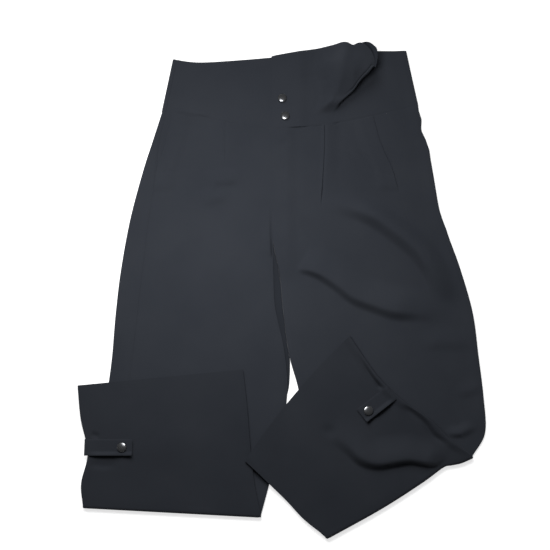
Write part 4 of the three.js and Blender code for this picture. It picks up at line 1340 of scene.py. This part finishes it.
def far_light():
    """Light from beyond the waist, which leaves the lower sides of folds dark; the caps don't mirror it"""
    data = bpy.data.lights.new("far_light", "SUN")
    data.energy = FAR_LIGHT["strength"]
    data.angle = FAR_LIGHT["spread"]
    light = add_light(data, (0, 0, 0), FAR_LIGHT["aim"])
    light.visible_glossy = False
    return light


def rotation_along(aim):
    """Rotation that points a light's -Z axis along a direction"""
    from_above = math.hypot(aim[0], aim[1])
    return (math.atan2(from_above, -aim[2]), 0, math.atan2(aim[1], aim[0]) - math.pi / 2)


def sky():
    """Dim even light from all round, a little stronger from beyond the waist"""
    world = bpy.data.worlds.new("studio")
    bpy.context.scene.world = world
    world.use_nodes = True
    tree = world.node_tree
    background = tree.nodes["Background"]
    place = add_node(tree, "ShaderNodeTexCoord", {})["Generated"]
    parts = add_node(tree, "ShaderNodeSeparateXYZ", {0: place})
    share = add_node(tree, "ShaderNodeMapRange", {
        "Value": parts["Y"], "From Min": -0.7, "From Max": 0.7, "To Min": 0.5, "To Max": 1.0})
    tree.links.new(share["Result"], background.inputs["Color"])
    background.inputs["Strength"].default_value = 0.1


class TROUSERS_OT_stage(bpy.types.Operator):
    """Makes the pale floor, the soft light and the camera"""

    bl_idname = "trousers.stage"
    bl_label = "Stage"

    def execute(self, context):
        sizes = context.scene.trousers_sizes
        mesh = bpy.data.meshes.new("floor")
        sides = ((-1, -1), (1, -1), (1, 1), (-1, 1))
        corners = [(x * FLOOR_SIDE, y * FLOOR_SIDE, FLOOR_LEVEL) for x, y in sides]
        mesh.from_pydata(corners, [], [(0, 1, 2, 3)])
        mesh.materials.append(floor_material())
        floor = bpy.data.objects.new("floor", mesh)
        context.scene.collection.objects.link(floor)
        sky()
        near_light()
        far_light()
        data = bpy.data.cameras.new("camera")
        data.sensor_width = 36
        data.lens = data.sensor_width * sizes.camera_distance / sizes.view_width
        data.clip_start = 0.05
        camera = bpy.data.objects.new("camera", data)
        camera.location = (
            SHIFT[0] * MM,
            SHIFT[1] * MM - sizes.camera_distance * math.sin(sizes.camera_tilt),
            sizes.camera_distance * math.cos(sizes.camera_tilt),
        )
        camera.rotation_euler = (sizes.camera_tilt, 0, 0)
        context.scene.collection.objects.link(camera)
        context.scene.camera = camera
        context.scene.view_settings.view_transform = "Standard"
        return {"FINISHED"}


OPERATORS = (
    TROUSERS_OT_back_legs,
    TROUSERS_OT_front_legs,
    TROUSERS_OT_pocket_sides,
    TROUSERS_OT_waistband,
    TROUSERS_OT_hem_tabs,
    TROUSERS_OT_snap_caps,
    TROUSERS_OT_stage,
)


class TROUSERS_PT_panel(bpy.types.Panel):
    """Lists the sizes, colours and steps in the sidebar"""

    bl_idname = "TROUSERS_PT_panel"
    bl_label = "Wide-leg trousers"
    bl_space_type = "VIEW_3D"
    bl_region_type = "UI"
    bl_category = "Trousers"

    def draw(self, context):
        for group in (context.scene.trousers_sizes, context.scene.trousers_colours):
            box = self.layout.box()
            for name in type(group).__annotations__:
                box.prop(group, name)
        for operator in OPERATORS:
            self.layout.operator(operator.bl_idname)


CLASSES = (TrousersSizes, TrousersColours, *OPERATORS, TROUSERS_PT_panel)


def register():
    for each in CLASSES:
        bpy.utils.register_class(each)
    bpy.types.Scene.trousers_sizes = PointerProperty(type=TrousersSizes)
    bpy.types.Scene.trousers_colours = PointerProperty(type=TrousersColours)


def unregister():
    del bpy.types.Scene.trousers_colours
    del bpy.types.Scene.trousers_sizes
    for each in reversed(CLASSES):
        bpy.utils.unregister_class(each)


def main():
    register()
    bpy.ops.trousers.stage()
    bpy.ops.trousers.back_legs()
    bpy.ops.trousers.front_legs()
    bpy.ops.trousers.pocket_sides()
    bpy.ops.trousers.waistband()
    bpy.ops.trousers.hem_tabs()
    bpy.ops.trousers.snap_caps()


if __name__ == "__main__":
    main()
